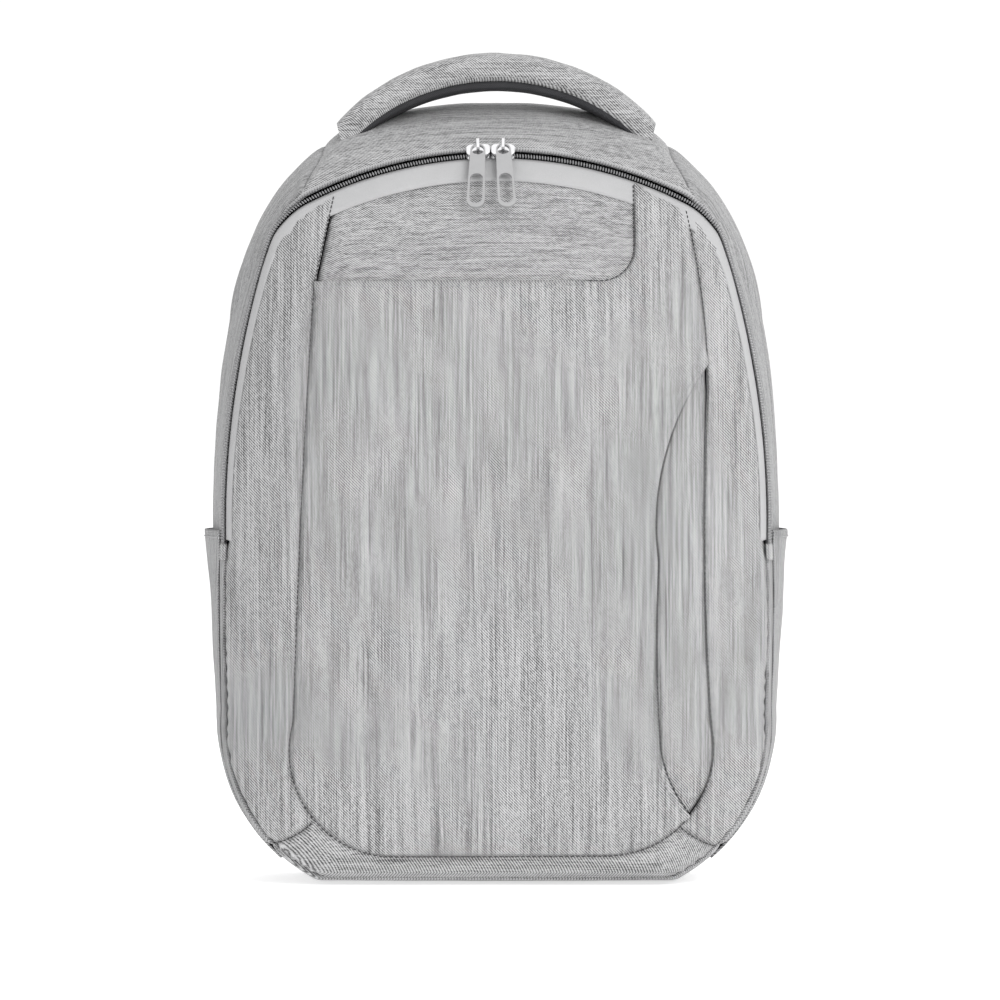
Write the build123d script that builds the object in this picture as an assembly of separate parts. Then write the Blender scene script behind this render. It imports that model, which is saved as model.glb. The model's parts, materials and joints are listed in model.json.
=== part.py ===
from build123d import *
import math
import os

# A daypack that stands on its base, in millimetres. +X is on the right, both for the wearer and for
# someone who looks at the front. The front faces -Y, the straps are at +Y and the base is at Z = 0.
os.makedirs("parts", exist_ok=True)

BODY_FRONT = -85.0
BODY_BACK = 55.0
BODY_HEIGHT = 419.0
BODY_HALF_WIDTH = 148.2

PADDED = 3.0  # panel of face fabric, foam and lining
FABRIC = 1.5  # panel of face fabric and lining
POCKET_GAP = 7.0  # room in the front pocket
BACKING_IN = FABRIC + POCKET_GAP
BACKING_OUT = BACKING_IN + FABRIC
SEAM_ALLOWANCE = 4.0
BODY_GAP = 0.3  # between pieces that move apart

# The zip's centreline lies in one leaning plane, as three arcs on each side of the middle.
ZIP_TOP_Y = -28.0
ZIP_TOP_Z = 389.5
ZIP_LEAN = math.atan(16 / 208.5)
ZIP_RADII = (224.6, 44.0, 477.0)
ZIP_HEADINGS = (0.0, 26.4, 72.0, 91.5)  # degrees below level where the arcs start and end
ZIP_END_Z = 181.0
COIL_FROM, COIL_TO = 0.6, 2.4  # each half coil, from the zip's middle
TAPE_FRONT = 9.0
TAPE_REAR = 7.0
TAPE_DEPTHS = (0.4, 1.4)  # under the body's surface
COIL_DEPTHS = (-1.0, 1.2)
END_TAB_DEPTHS = (-1.4, -0.05)
END_TAB_LENGTH = 9.0
END_TAB_HALF_WIDTH = 6.0

# The front bends here when it is opened, on a line between the zip's ends.
FOLD_Y = -62.0
FOLD_Z = ZIP_END_Z
FOLD_HALF_ANGLE = math.radians(28)

SEAM_TOP = 400.0  # above the zip, where the front panel's outlines are closed
POCKET_EDGE_Z = 320.0
POCKET_EDGE_X = 74.0
POCKET_EDGE_RADIUS = 18.0
CRESCENT_UNDERLAP = 6.0
BOTTOM_SEAM_Z = 20.0
HANDLE_SEAM_X = 84.0

SIDE_POCKET_TOP = 188.0
SIDE_POCKET_BOTTOM = 14.0
SIDE_POCKET_BULGE = 6.8
SIDE_POCKET_FABRIC = 1.3
POCKET_SET_BACK = 9.0  # from the zip's plane to the pockets' front edge
BINDING = 4.0

# Points between the arcs of the body's outline at each depth, right half, from the base's corner up to
# the top: corner, arc, side, arc, zip end, arc, shoulder, arc, top corner, top middle.
BACK_EDGE = ((92, 8), (122, 36), (138, 94), (139.5, 137), (139.5, 181), (138, 235), (131, 292),
             (116, 350), (72, 397), (0, 410))
WIDEST = ((98, 0), (133, 33), (147.5, 92), (148.2, 137), (148.2, 181), (147, 238), (139, 300),
          (122, 356), (74, 406), (0, 419))
CROWN = ((98, 0), (133, 33), (147.5, 92), (148.2, 137), (148.2, 181), (147, 238), (139, 300),
         (122, 353), (76, 395), (0, 407))
SHOULDER = ((84, 12), (117, 33), (131, 88), (134, 134), (134.5, 181), (132, 237), (122, 292),
            (108, 325), (70, 345), (0, 355))
FACE_EDGE = ((72, 28), (103, 45), (115, 90), (117.5, 134), (118, 181), (115, 228), (108, 272),
             (96, 300), (60, 316), (0, 322))
FACE = ((58, 48), (84, 60), (94, 95), (96, 134), (96, 181), (94, 222), (89, 250),
        (78, 268), (50, 278), (0, 281))


def zip_point(heading):
    """X and Z of the zip's centreline where it heads so many degrees below level."""
    x = 0.0
    down = 0.0
    for radius, start, end in zip(ZIP_RADII, ZIP_HEADINGS, ZIP_HEADINGS[1:]):
        a = math.radians(start)
        b = math.radians(min(max(heading, start), end))
        x += radius * (math.sin(b) - math.sin(a))
        down += radius * (math.cos(a) - math.cos(b))
    return x, ZIP_TOP_Z - down * math.cos(ZIP_LEAN)


def zip_y(z):
    return ZIP_TOP_Y - (ZIP_TOP_Z - z) * math.tan(ZIP_LEAN)


ZIP_LINE = ((94, 1.5), (129, 33), (143, 92), (144.5, 137), zip_point(91.5), zip_point(83),
            zip_point(72), zip_point(49), zip_point(26.4), (0, ZIP_TOP_Z))

# Y at the top and at the bottom of each outline, then the outline.
STATIONS = (
    (BODY_BACK, BODY_BACK, BACK_EDGE),
    (42.0, 42.0, WIDEST),
    (5.0, 5.0, CROWN),
    (ZIP_TOP_Y, zip_y(1.5), ZIP_LINE),
    (-52.0, -70.0, SHOULDER),
    (-71.0, -79.0, FACE_EDGE),
    (BODY_FRONT, BODY_FRONT, FACE),
)
# The side pockets leave the body just behind the zip's line and come back to it near the back.
POCKET_STATIONS = (
    (42.0, 42.0, WIDEST, 0.5),
    (24.0, 24.0, CROWN, SIDE_POCKET_BULGE),
    (-14.0, -14.0, CROWN, SIDE_POCKET_BULGE),
    (zip_y(ZIP_TOP_Z) + POCKET_SET_BACK, zip_y(1.5) + POCKET_SET_BACK, ZIP_LINE, 0.5),
)


def inward(x, y, z, inset):
    """The point moved towards the body's middle, so that faces lie about inset deeper."""
    half_depth = (BODY_BACK - BODY_FRONT) / 2
    half_height = BODY_HEIGHT / 2
    mid_y = (BODY_BACK + BODY_FRONT) / 2
    return Vector(
        x * (1 - inset / BODY_HALF_WIDTH),
        mid_y + (y - mid_y) * (1 - inset / half_depth),
        half_height + (z - half_height) * (1 - inset / half_height),
    )


def outline(y_top, y_bottom, points, inset=0.0, bulge=0.0):
    """The closed outline of the body at one depth."""
    low = points[0][1]
    high = points[-1][1]

    def place(x, z):
        y = y_bottom + (y_top - y_bottom) * (z - low) / (high - low)
        wide = x * (1 + bulge / BODY_HALF_WIDTH)
        return inward(wide, y, z, inset)

    right = [place(x, z) for x, z in points]
    left = [place(-x, z) for x, z in points]
    edges = [Edge.make_line(left[0], right[0])]
    for i in (0, 2, 4, 6):
        edges.append(Edge.make_three_point_arc(right[i], right[i + 1], right[i + 2]))
    edges.append(Edge.make_three_point_arc(right[8], right[9], left[8]))
    for i in (8, 6, 4, 2):
        edges.append(Edge.make_three_point_arc(left[i], left[i - 1], left[i - 2]))
    return Wire(edges)


def body(inset):
    """The whole body as a solid, with its faces that much inside the outer ones."""
    return Solid.make_loft([outline(*station, inset=inset) for station in STATIONS], ruled=True)


def shell(outer, inner):
    return body(outer) - body(inner)


def pocket_body(inset):
    wires = [
        outline(top, bottom, points, bulge=bulge - inset) for top, bottom, points, bulge in POCKET_STATIONS
    ]
    return Solid.make_loft(wires, ruled=True)


def front_region(edges):
    """Everything in front of and behind an outline that is drawn in X and Z."""
    return extrude(Face(Wire(edges)), amount=200, dir=(0, 1, 0), both=True)


def side_region(points):
    """Everything left and right of a polygon that is given in Y and Z."""
    wire = Wire.make_polygon([(0, y, z) for y, z in points], close=True)
    return extrude(Face(wire), amount=250, dir=(1, 0, 0), both=True)


def arc(start, middle, end):
    """An arc in X and Z."""
    return Edge.make_three_point_arc(*[(x, 0, z) for x, z in (start, middle, end)])


def lines(*points):
    """Straight edges through points in X and Z."""
    return [Edge.make_line((a, 0, b), (c, 0, d)) for (a, b), (c, d) in zip(points, points[1:])]


def block(x, y, z):
    """A box between pairs of limits."""
    size = (x[1] - x[0], y[1] - y[0], z[1] - z[0])
    middle = ((x[0] + x[1]) / 2, (y[0] + y[1]) / 2, (z[0] + z[1]) / 2)
    return Pos(*middle) * Box(*size)


ZIP_PLANE = Plane(
    origin=(0, ZIP_TOP_Y, ZIP_TOP_Z),
    x_dir=(1, 0, 0),
    z_dir=(0, -math.cos(ZIP_LEAN), math.sin(ZIP_LEAN)),
)


def zip_slab(start, end):
    """The slab between two distances in front of the zip's plane."""
    return ZIP_PLANE.offset((start + end) / 2) * Box(600, 1200, end - start)


def both(shape):
    """The shape and its mirror image in X."""
    return shape, mirror(shape, about=Plane.YZ)


def save(name, shape):
    export_step(shape, f"parts/{name}.step")


def save_split(name, shape):
    """One front piece as its lower part, the part that bends and the part that opens."""
    save(f"{name}_lower", shape & LOWER_ZONE)
    save(f"{name}_fold", shape & FOLD_ZONE)
    save(f"{name}_upper", shape & UPPER_ZONE)


# Regions of the front. Its main seam runs down both sides and round the bottom.
MAIN_SEAM = lines((93, SEAM_TOP), (-80, SEAM_TOP), (-96.5, 320)) + [
    arc((-96.5, 320), (-101.8, 225), (-107.2, 88)),
    arc((-107.2, 88), (-95.5, 34.5), (-58, 15.3)),
    *lines((-58, 15.3), (60, 15.8)),
    arc((60, 15.8), (99, 33.5), (113.8, 86)),
    arc((113.8, 86), (110.4, 175), (112.5, 262)),
    arc((112.5, 262), (110.2, 305), (102.4, 354)),
    *lines((102.4, 354), (93, SEAM_TOP)),
]
MAIN_REGION = front_region(MAIN_SEAM)
SEAM_REGION = MAIN_REGION
for shift_x, shift_z in ((SEAM_ALLOWANCE, 0), (-SEAM_ALLOWANCE, 0), (0, -SEAM_ALLOWANCE)):
    SEAM_REGION += Pos(shift_x, 0, shift_z) * MAIN_REGION
CORNER = (POCKET_EDGE_X - POCKET_EDGE_RADIUS, POCKET_EDGE_Z + POCKET_EDGE_RADIUS)
CORNER_REACH = POCKET_EDGE_RADIUS * math.sin(math.radians(45))
INSET_REGION = front_region(
    lines((POCKET_EDGE_X, SEAM_TOP), (-120, SEAM_TOP), (-120, POCKET_EDGE_Z), (CORNER[0], POCKET_EDGE_Z))
    + [
        arc(
            (CORNER[0], POCKET_EDGE_Z),
            (CORNER[0] + CORNER_REACH, CORNER[1] - CORNER_REACH),
            (POCKET_EDGE_X, CORNER[1]),
        )
    ]
    + lines((POCKET_EDGE_X, CORNER[1]), (POCKET_EDGE_X, SEAM_TOP))
)
CRESCENT_REGION = front_region(
    [
        arc((120, 286), (93.5, 243), (85.2, 172)),
        arc((85.2, 172), (84.2, 121), (86, 74)),
        arc((86, 74), (93, 52), (110, 30)),
    ]
    + lines((110, 30), (140, 30), (140, 286), (120, 286))
)
BOTTOM_REGION = front_region(
    lines((-200, BOTTOM_SEAM_Z), (-125, 20.5))
    + [arc((-125, 20.5), (-110, 25), (-96.8, 34.5))]
    + lines((-96.8, 34.5), (-58, 30), (60, 30), (97.5, 31.5))
    + [arc((97.5, 31.5), (110, 23), (125, 18))]
    + lines((125, 18), (200, BOTTOM_SEAM_Z), (200, -20), (-200, -20), (-200, BOTTOM_SEAM_Z))
) - MAIN_REGION

FAR = 130.0
RISE = (FAR + FOLD_Y) * math.tan(FOLD_HALF_ANGLE)
LOWER_ZONE = side_region(
    [(FOLD_Y, FOLD_Z), (-FAR, FOLD_Z - RISE), (-FAR, -50), (150, -50), (150, FOLD_Z)]
)
FOLD_ZONE = side_region([(FOLD_Y, FOLD_Z), (-FAR, FOLD_Z - RISE), (-FAR, FOLD_Z + RISE)])
UPPER_ZONE = side_region(
    [
        (FOLD_Y, FOLD_Z + BODY_GAP),
        (-FAR, FOLD_Z + RISE + BODY_GAP),
        (-FAR, 600),
        (150, 600),
        (150, FOLD_Z + BODY_GAP),
    ]
)
ABOVE_ZIP_END = block((-250, 250), (-200, 200), (ZIP_END_Z, 600))
ZIP_BAND = zip_slab(-TAPE_REAR, TAPE_FRONT) & ABOVE_ZIP_END
FRONT_ZONE = zip_slab(0, 300) - ZIP_BAND
REAR_ZONE = zip_slab(-300, 0) - ZIP_BAND
BACK_FACE = BODY_BACK - PADDED
BACK_ZONE = block((-250, 250), (BACK_FACE, 200), (-50, 600))

PADDED_SHELL = shell(0, PADDED)
FABRIC_SHELL = shell(0, FABRIC)
SEAM_SHELL = shell(0, BACKING_OUT)


def build_front():
    """The front pocket's panel, its backing, the slash pocket's crescent and the side strips."""
    panel = (FABRIC_SHELL & FRONT_ZONE & MAIN_REGION) - INSET_REGION - CRESCENT_REGION
    save_split("front_pocket_panel", panel)
    backing = shell(BACKING_IN, BACKING_OUT) & FRONT_ZONE & MAIN_REGION
    zip_facing = zip_slab(TAPE_FRONT, TAPE_FRONT + 3) & ABOVE_ZIP_END & MAIN_REGION
    save_split("front_pocket_backing", backing + (shell(FABRIC, BACKING_OUT) & zip_facing))
    underlap = Pos(-CRESCENT_UNDERLAP, 0, 0) * CRESCENT_REGION
    crescent = shell(FABRIC + 0.5, 2 * FABRIC + 0.5) & FRONT_ZONE & MAIN_REGION & underlap
    save_split("slash_pocket_panel", crescent)
    for side, sign in (("right", 1), ("left", -1)):
        half = block((0, 250) if sign > 0 else (-250, 0), (-200, 200), (-50, 600))
        strip = (PADDED_SHELL & FRONT_ZONE & half) - MAIN_REGION - BOTTOM_REGION
        seam = ((SEAM_SHELL & FRONT_ZONE & half & SEAM_REGION) - MAIN_REGION) - BOTTOM_REGION
        save_split(f"front_strip_{side}", strip + seam)


def build_body():
    """The gussets, the bottom, the back and the two stiffeners."""
    rear = ((PADDED_SHELL & REAR_ZONE) - BACK_ZONE) - BOTTOM_REGION
    top_part = block((-HANDLE_SEAM_X, HANDLE_SEAM_X), (-200, 200), (300, 600))
    save("top_gusset", rear & top_part)
    for side, limits in (("right", (0, 250)), ("left", (-250, 0))):
        save(f"side_gusset_{side}", (rear - top_part) & block(limits, (-200, 200), (-50, 600)))
    bottom_seam = (SEAM_SHELL & FRONT_ZONE & SEAM_REGION) & BOTTOM_REGION
    save("bottom_panel", ((PADDED_SHELL & BOTTOM_REGION) - BACK_ZONE) + bottom_seam)
    save("back_panel", PADDED_SHELL & BACK_ZONE)
    save("base_board", fillet(block((-86, 86), (-40, 36), (4.6, 6.6)).edges().filter_by(Axis.Z), 14))


def build_zip():
    """The tapes, the two half coils and the tabs over their ends."""
    tape = shell(*TAPE_DEPTHS) & ABOVE_ZIP_END & UPPER_ZONE
    coil = shell(*COIL_DEPTHS) & ABOVE_ZIP_END & UPPER_ZONE
    save("zip_tape_front", tape & zip_slab(COIL_TO, TAPE_FRONT))
    save("zip_tape_rear", tape & zip_slab(-TAPE_REAR, -COIL_TO))
    save("zip_coil_front", coil & zip_slab(COIL_FROM, COIL_TO))
    save("zip_coil_rear", coil & zip_slab(-COIL_TO, -COIL_FROM))
    end = block((60, 250), (-200, 200), (ZIP_END_Z - END_TAB_LENGTH, ZIP_END_Z))
    tab = shell(*END_TAB_DEPTHS) & zip_slab(-END_TAB_HALF_WIDTH, END_TAB_HALF_WIDTH) & end
    for side, piece in zip(("right", "left"), both(tab)):
        save(f"zip_end_tab_{side}", piece)


# The slider lies across the zip where the front and the top meet.
SLIDER_TILT = math.radians(42)
SLIDER_LENGTH = 12.6
SLIDER_WIDTH = 8.6
SLIDER_TOP = (1.3, 2.6)
SLIDER_BOTTOM = (-4.0, -2.9)
SLIDERS_MEET_X = -3.0
PULL_SLOPE = math.radians(35)  # of the front just below the zip, from upright
PULL_LENGTH = 42.0
PULL_THICKNESS = 1.8
PULL_NECK, PULL_FOOT = 8.0, 9.7
PULL_HOLE = 3.2
PULL_BAR = 1.2  # from the swing axis to the pull's upper edge
PULL_BAR_HEIGHT = 4.8  # of the swing axis above the zip
PULL_LEAN = 4.0  # degrees
BRIDGE_WIDTH = 1.6
SLIDER_PLANE = Plane(
    origin=(0, ZIP_TOP_Y, ZIP_TOP_Z),
    x_dir=(1, 0, 0),
    z_dir=(0, -math.sin(SLIDER_TILT), math.cos(SLIDER_TILT)),
)
ZIP_CENTRE = ZIP_PLANE.from_local_coords(Vector(0, -ZIP_RADII[0], 0))
ZIP_TRAVEL_AXIS = Axis(ZIP_CENTRE, ZIP_PLANE.z_dir)


def slider():
    """A slider at the middle of the arch, its nose towards +X."""

    def plate(limits):
        size = (SLIDER_LENGTH, SLIDER_WIDTH, limits[1] - limits[0])
        raw = Pos(0, 0, sum(limits) / 2) * Box(*size)
        return fillet(raw.edges().filter_by(Axis.Z), 2.6)

    height = PULL_BAR_HEIGHT + 2.2
    legs = [Pos(0, v, (SLIDER_TOP[1] + height) / 2) * Box(BRIDGE_WIDTH, 1.3, height - SLIDER_TOP[1] + 0.4)
            for v in (-3.3, 2.7)]
    rod = Pos(0, -0.3, height) * Box(BRIDGE_WIDTH, 7.3, 1.2)
    held = plate(SLIDER_TOP) + plate(SLIDER_BOTTOM) + legs[0] + legs[1] + rod
    between = Pos(0, 0, (SLIDER_TOP[0] + SLIDER_BOTTOM[1]) / 2) * Box(
        SLIDER_LENGTH, SLIDER_WIDTH, SLIDER_TOP[0] - SLIDER_BOTTOM[1] + 0.4
    )
    post = ZIP_PLANE * Pos(SLIDER_LENGTH / 2 - 2.4, 0, 0) * Box(2.4, 12, 0.7)
    return (SLIDER_PLANE * held) + (post & (SLIDER_PLANE * between))


def pull():
    """A pull that hangs from a slider at the middle of the arch and lies along the front."""
    hang = Plane(
        origin=SLIDER_PLANE.from_local_coords(Vector(0, 0, PULL_BAR_HEIGHT)),
        x_dir=(1, 0, 0),
        z_dir=(0, -math.cos(PULL_SLOPE), math.sin(PULL_SLOPE)),
    )
    foot = PULL_FOOT / 2
    neck = PULL_NECK / 2
    end_y = PULL_BAR - PULL_LENGTH
    neck_y = PULL_BAR - neck
    outer = Wire(
        [
            Edge.make_line((-neck, neck_y, 0), (-foot, end_y + foot, 0)),
            Edge.make_three_point_arc((-foot, end_y + foot, 0), (0, end_y, 0), (foot, end_y + foot, 0)),
            Edge.make_line((foot, end_y + foot, 0), (neck, neck_y, 0)),
            Edge.make_three_point_arc((neck, neck_y, 0), (0, PULL_BAR, 0), (-neck, neck_y, 0)),
        ]
    )
    flat = extrude(Face(outer), amount=PULL_THICKNESS / 2, dir=(0, 0, 1), both=True)
    hole = Pos(0, PULL_BAR - 0.8 - PULL_HOLE, 0) * Cylinder(PULL_HOLE, 4)
    slot = Pos(0, end_y + 12.5, 0) * extrude(SlotOverall(19.5, 6.8, rotation=90), amount=2, both=True)
    return hang, flat - hole - slot


def build_sliders():
    """Two sliders nose to nose, each with its pull."""
    hang, flat = pull()
    for side, sign in (("right", 1), ("left", -1)):
        x = SLIDERS_MEET_X + sign * (SLIDER_LENGTH / 2 + BODY_GAP)
        turn = math.degrees(math.asin(x / ZIP_RADII[0]))
        piece = slider() if sign < 0 else mirror(slider(), about=Plane.YZ)
        leaning = hang * Rot(0, 0, sign * PULL_LEAN) * flat
        save(f"zip_slider_{side}", piece.rotate(ZIP_TRAVEL_AXIS, -turn))
        save(f"zip_pull_{side}", leaning.rotate(ZIP_TRAVEL_AXIS, -turn))


def build_side_pockets():
    """An open-topped pocket on each side, with an elastic binding round its mouth."""
    room = block((60, 250), (-200, 200), (SIDE_POCKET_BOTTOM, SIDE_POCKET_TOP))
    solid = (pocket_body(0) - body(0)) & room
    floor_top = SIDE_POCKET_BOTTOM + 2
    floor = solid & block((60, 250), (-200, 200), (SIDE_POCKET_BOTTOM, floor_top))
    skin = pocket_body(0) - pocket_body(SIDE_POCKET_FABRIC)
    wall = ((skin & room) - body(0)) + floor
    mouth = block((60, 250), (-200, 200), (SIDE_POCKET_TOP - BINDING, SIDE_POCKET_TOP))
    for side, piece in zip(("right", "left"), both(wall - mouth)):
        save(f"side_pocket_{side}", piece)
    for side, piece in zip(("right", "left"), both(wall & mouth)):
        save(f"side_pocket_binding_{side}", piece)


SLEEVE_HALF_WIDTH = 112.0
SLEEVE_DEPTH = 20.0
SLEEVE_BOTTOM = 36.0
SLEEVE_TOP = 268.0
SLEEVE_WALL = 2.0


def build_sleeve():
    """The laptop sleeve in front of the back panel, open at the top."""
    front = BACK_FACE - SLEEVE_DEPTH
    outside = block((-SLEEVE_HALF_WIDTH, SLEEVE_HALF_WIDTH), (front, BACK_FACE), (SLEEVE_BOTTOM, SLEEVE_TOP))
    inner = SLEEVE_HALF_WIDTH - SLEEVE_WALL
    heights = (SLEEVE_BOTTOM + SLEEVE_WALL, SLEEVE_TOP)
    inside = block((-inner, inner), (front + SLEEVE_WALL, BACK_FACE), heights)
    save("laptop_sleeve", outside - inside)
    edge = block((-inner, inner), (front - 0.5, front + SLEEVE_WALL + 0.5), (SLEEVE_TOP, SLEEVE_TOP + 6))
    save("laptop_sleeve_binding", edge)


# The grab handle is an arch of foam in a cover, with a lining under the hand.
HANDLE_Y = 20.0
HANDLE_WIDTH = 30.0
HANDLE_TOP_Z = 445.0
HANDLE_UNDER_Z = 424.5
HANDLE_END_OUTER_Z = 404.0
HANDLE_END_UNDER_Z = 390.0
HANDLE_FREE_X = 58.0


def arch(over, under, end_over, end_under, width):
    """A solid between two arcs over the handle's span, of one width."""
    edges = [
        arc((-HANDLE_SEAM_X, end_over), (0, over), (HANDLE_SEAM_X, end_over)),
        *lines((HANDLE_SEAM_X, end_over), (HANDLE_SEAM_X, end_under)),
        arc((HANDLE_SEAM_X, end_under), (0, under), (-HANDLE_SEAM_X, end_under)),
        *lines((-HANDLE_SEAM_X, end_under), (-HANDLE_SEAM_X, end_over)),
    ]
    return Pos(0, HANDLE_Y, 0) * extrude(Face(Wire(edges)), amount=width / 2, dir=(0, 1, 0), both=True)


def build_handle():
    """The handle's moving arch and the two ends that are sewn into the gusset seams."""
    whole = arch(HANDLE_TOP_Z, HANDLE_UNDER_Z, HANDLE_END_OUTER_Z, HANDLE_END_UNDER_Z, HANDLE_WIDTH)
    long_edges = whole.edges().filter_by(GeomType.CIRCLE).sort_by(Axis.Z)
    whole = fillet(long_edges[-2:], 6)
    foam = arch(HANDLE_TOP_Z - 2, HANDLE_UNDER_Z + 2, HANDLE_END_OUTER_Z - 2, HANDLE_END_UNDER_Z + 2, 26)
    foam = fillet(foam.edges().filter_by(GeomType.CIRCLE).sort_by(Axis.Z)[-2:], 4)
    below = arch(HANDLE_UNDER_Z + 2, HANDLE_UNDER_Z - 9, HANDLE_END_UNDER_Z + 2, HANDLE_END_UNDER_Z - 9, 60)
    free = block((-HANDLE_FREE_X, HANDLE_FREE_X), (-60, 100), (300, 500))
    save("handle_cover", (whole - foam - below) & free)
    save("handle_foam", foam & free)
    save("handle_lining", (whole & below) & free)
    end_part = block((HANDLE_FREE_X + BODY_GAP, HANDLE_SEAM_X), (-60, 100), (300, 500))
    for side, piece in zip(("right", "left"), both((whole & end_part) - body(-0.1))):
        save(f"handle_end_{side}", piece)


# The harness behind the back panel.
PAD_THICKNESS = 7.0
STRAP_THICKNESS = 12.0
STRAP_TOP_Z = 392.0
STRAP_END_Z = 114.0
STRAP_PROFILE = ((58.1, STRAP_TOP_Z), (72.6, 250), (67.1, STRAP_END_Z))  # Y and Z of the face to the back
LOCK_X = 81.0
LOCK_TOP_Z = 110.0
LOCK_HEIGHT = 26.0
LOCK_WIDTH = 30.0
LOCK_THICKNESS = 4.6
LOCK_Y = 73.0
WEBBING_WIDTH = 20.0
WEBBING_THICKNESS = 1.6
ANCHOR = (112.0, 57.4, 26.0)


def strap_slice(thickness_from, thickness_to):
    """The curved slab that the strap is cut from, between two depths from its inner face."""
    top, middle, end = STRAP_PROFILE

    def profile_arc(depth, reverse):
        points = [(0, y + depth, z) for y, z in (top, middle, end)]
        if reverse:
            points.reverse()
        return Edge.make_three_point_arc(*points), points

    inner, inner_points = profile_arc(thickness_from, False)
    outer, outer_points = profile_arc(thickness_to, True)
    wire = Wire(
        [inner, Edge.make_line(inner_points[2], outer_points[0]), outer,
         Edge.make_line(outer_points[2], inner_points[0])]
    )
    return extrude(Face(wire), amount=250, dir=(1, 0, 0), both=True)


def build_straps():
    """Two padded shoulder straps, each of a cover and a mesh face, with its lower webbing."""
    shape = front_region(
        [
            *lines((16, STRAP_TOP_Z + 5), (68, STRAP_TOP_Z + 5)),
            arc((68, STRAP_TOP_Z + 5), (108, 270), (104, STRAP_END_Z)),
            *lines((104, STRAP_END_Z), (58, STRAP_END_Z)),
            arc((58, STRAP_END_Z), (56, 260), (16, STRAP_TOP_Z + 5)),
        ]
    )
    cover = shape & strap_slice(3, STRAP_THICKNESS)
    mesh_face = shape & strap_slice(0, 3)
    lock_plate = block(
        (LOCK_X - LOCK_WIDTH / 2, LOCK_X + LOCK_WIDTH / 2),
        (LOCK_Y - LOCK_THICKNESS / 2, LOCK_Y + LOCK_THICKNESS / 2),
        (LOCK_TOP_Z - LOCK_HEIGHT, LOCK_TOP_Z),
    )
    lock = fillet(lock_plate.edges().filter_by(Axis.Y), 3)
    for slot_z in (LOCK_TOP_Z - 6, LOCK_TOP_Z - 13, LOCK_TOP_Z - 20):
        lock -= Pos(LOCK_X, LOCK_Y, slot_z) * Box(WEBBING_WIDTH + 2, 20, 3.6)
    half = WEBBING_WIDTH / 2
    rear_y = LOCK_Y + LOCK_THICKNESS / 2 + 0.2
    front_y = LOCK_Y - LOCK_THICKNESS / 2 - 0.2
    loop_low = LOCK_TOP_Z - 6.6
    loop_across = (LOCK_X - half, LOCK_X + half)
    loop = block(loop_across, (front_y - 1.6, rear_y + 1.6), (loop_low, STRAP_END_Z - 0.1))
    loop -= block(loop_across, (front_y, rear_y), (LOCK_TOP_Z - 4.2, LOCK_TOP_Z + 1.2))
    tail = block((LOCK_X - half, LOCK_X + half), (rear_y + 1, rear_y + 2.6), (34, LOCK_TOP_Z - 9.6))
    lower = Wire.make_polygon(
        [
            (ANCHOR[0] - half, 0, ANCHOR[2]),
            (ANCHOR[0] + half, 0, ANCHOR[2]),
            (LOCK_X + half, 0, LOCK_TOP_Z - LOCK_HEIGHT - 4),
            (LOCK_X - half, 0, LOCK_TOP_Z - LOCK_HEIGHT - 4),
        ],
        close=True,
    )
    webbing_profile = side_region(
        [
            (ANCHOR[1], ANCHOR[2]),
            (ANCHOR[1] + WEBBING_THICKNESS, ANCHOR[2]),
            (LOCK_Y + WEBBING_THICKNESS / 2, LOCK_TOP_Z - LOCK_HEIGHT - 4),
            (LOCK_Y - WEBBING_THICKNESS / 2, LOCK_TOP_Z - LOCK_HEIGHT - 4),
        ]
    )
    webbing = extrude(Face(lower), amount=200, dir=(0, 1, 0), both=True) & webbing_profile
    anchor = front_region(lines((100, 12), (124, 24), (128, 44), (98, ANCHOR[2] - 1), (100, 12)))
    anchor &= block((0, 250), (BODY_BACK, BODY_BACK + 2.0), (0, 100))
    pieces = {
        "strap_cover": cover,
        "strap_mesh": mesh_face,
        "ladder_lock": lock,
        "ladder_lock_loop": loop,
        "webbing_tail": tail,
        "lower_webbing": webbing,
        "webbing_anchor": anchor,
    }
    for name, piece in pieces.items():
        for side, shaped in zip(("right", "left"), both(piece)):
            save(f"{name}_{side}", shaped)
    save("strap_yoke", block((-60, 60), (BODY_BACK, BODY_BACK + 2), (399, 404)))


def build_back_pads():
    """Three foam pads on the back panel, with air channels between them."""
    y = (BODY_BACK, BODY_BACK + PAD_THICKNESS)
    tall = block((14, 108), y, (118, 350))
    tall = fillet(tall.edges().filter_by(Axis.Y), 16)
    tall = fillet(tall.faces().sort_by(Axis.Y)[-1].edges(), 3)
    for side, piece in zip(("right", "left"), both(tall)):
        save(f"back_pad_{side}", piece)
    lumbar = block((-96, 96), y, (52, 108))
    lumbar = fillet(lumbar.edges().filter_by(Axis.Y), 16)
    save("back_pad_lumbar", fillet(lumbar.faces().sort_by(Axis.Y)[-1].edges(), 3))


build_front()
build_body()
build_zip()
build_sliders()
build_side_pockets()
build_sleeve()
build_handle()
build_straps()
build_back_pads()
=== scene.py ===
"""Builds the looks of a heather-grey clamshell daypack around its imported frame.

Sizes are in millimetres until a mesh is made. The front faces -Y and the pack stands on Z = 0.
"""

from __future__ import annotations

import json
import logging
import math
from dataclasses import dataclass, field
from enum import Enum
from typing import Any, Callable, Sequence

import bmesh
import bpy
import numpy as np
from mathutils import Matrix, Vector, noise
from mathutils.bvhtree import BVHTree
from mathutils.geometry import delaunay_2d_cdt

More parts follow.
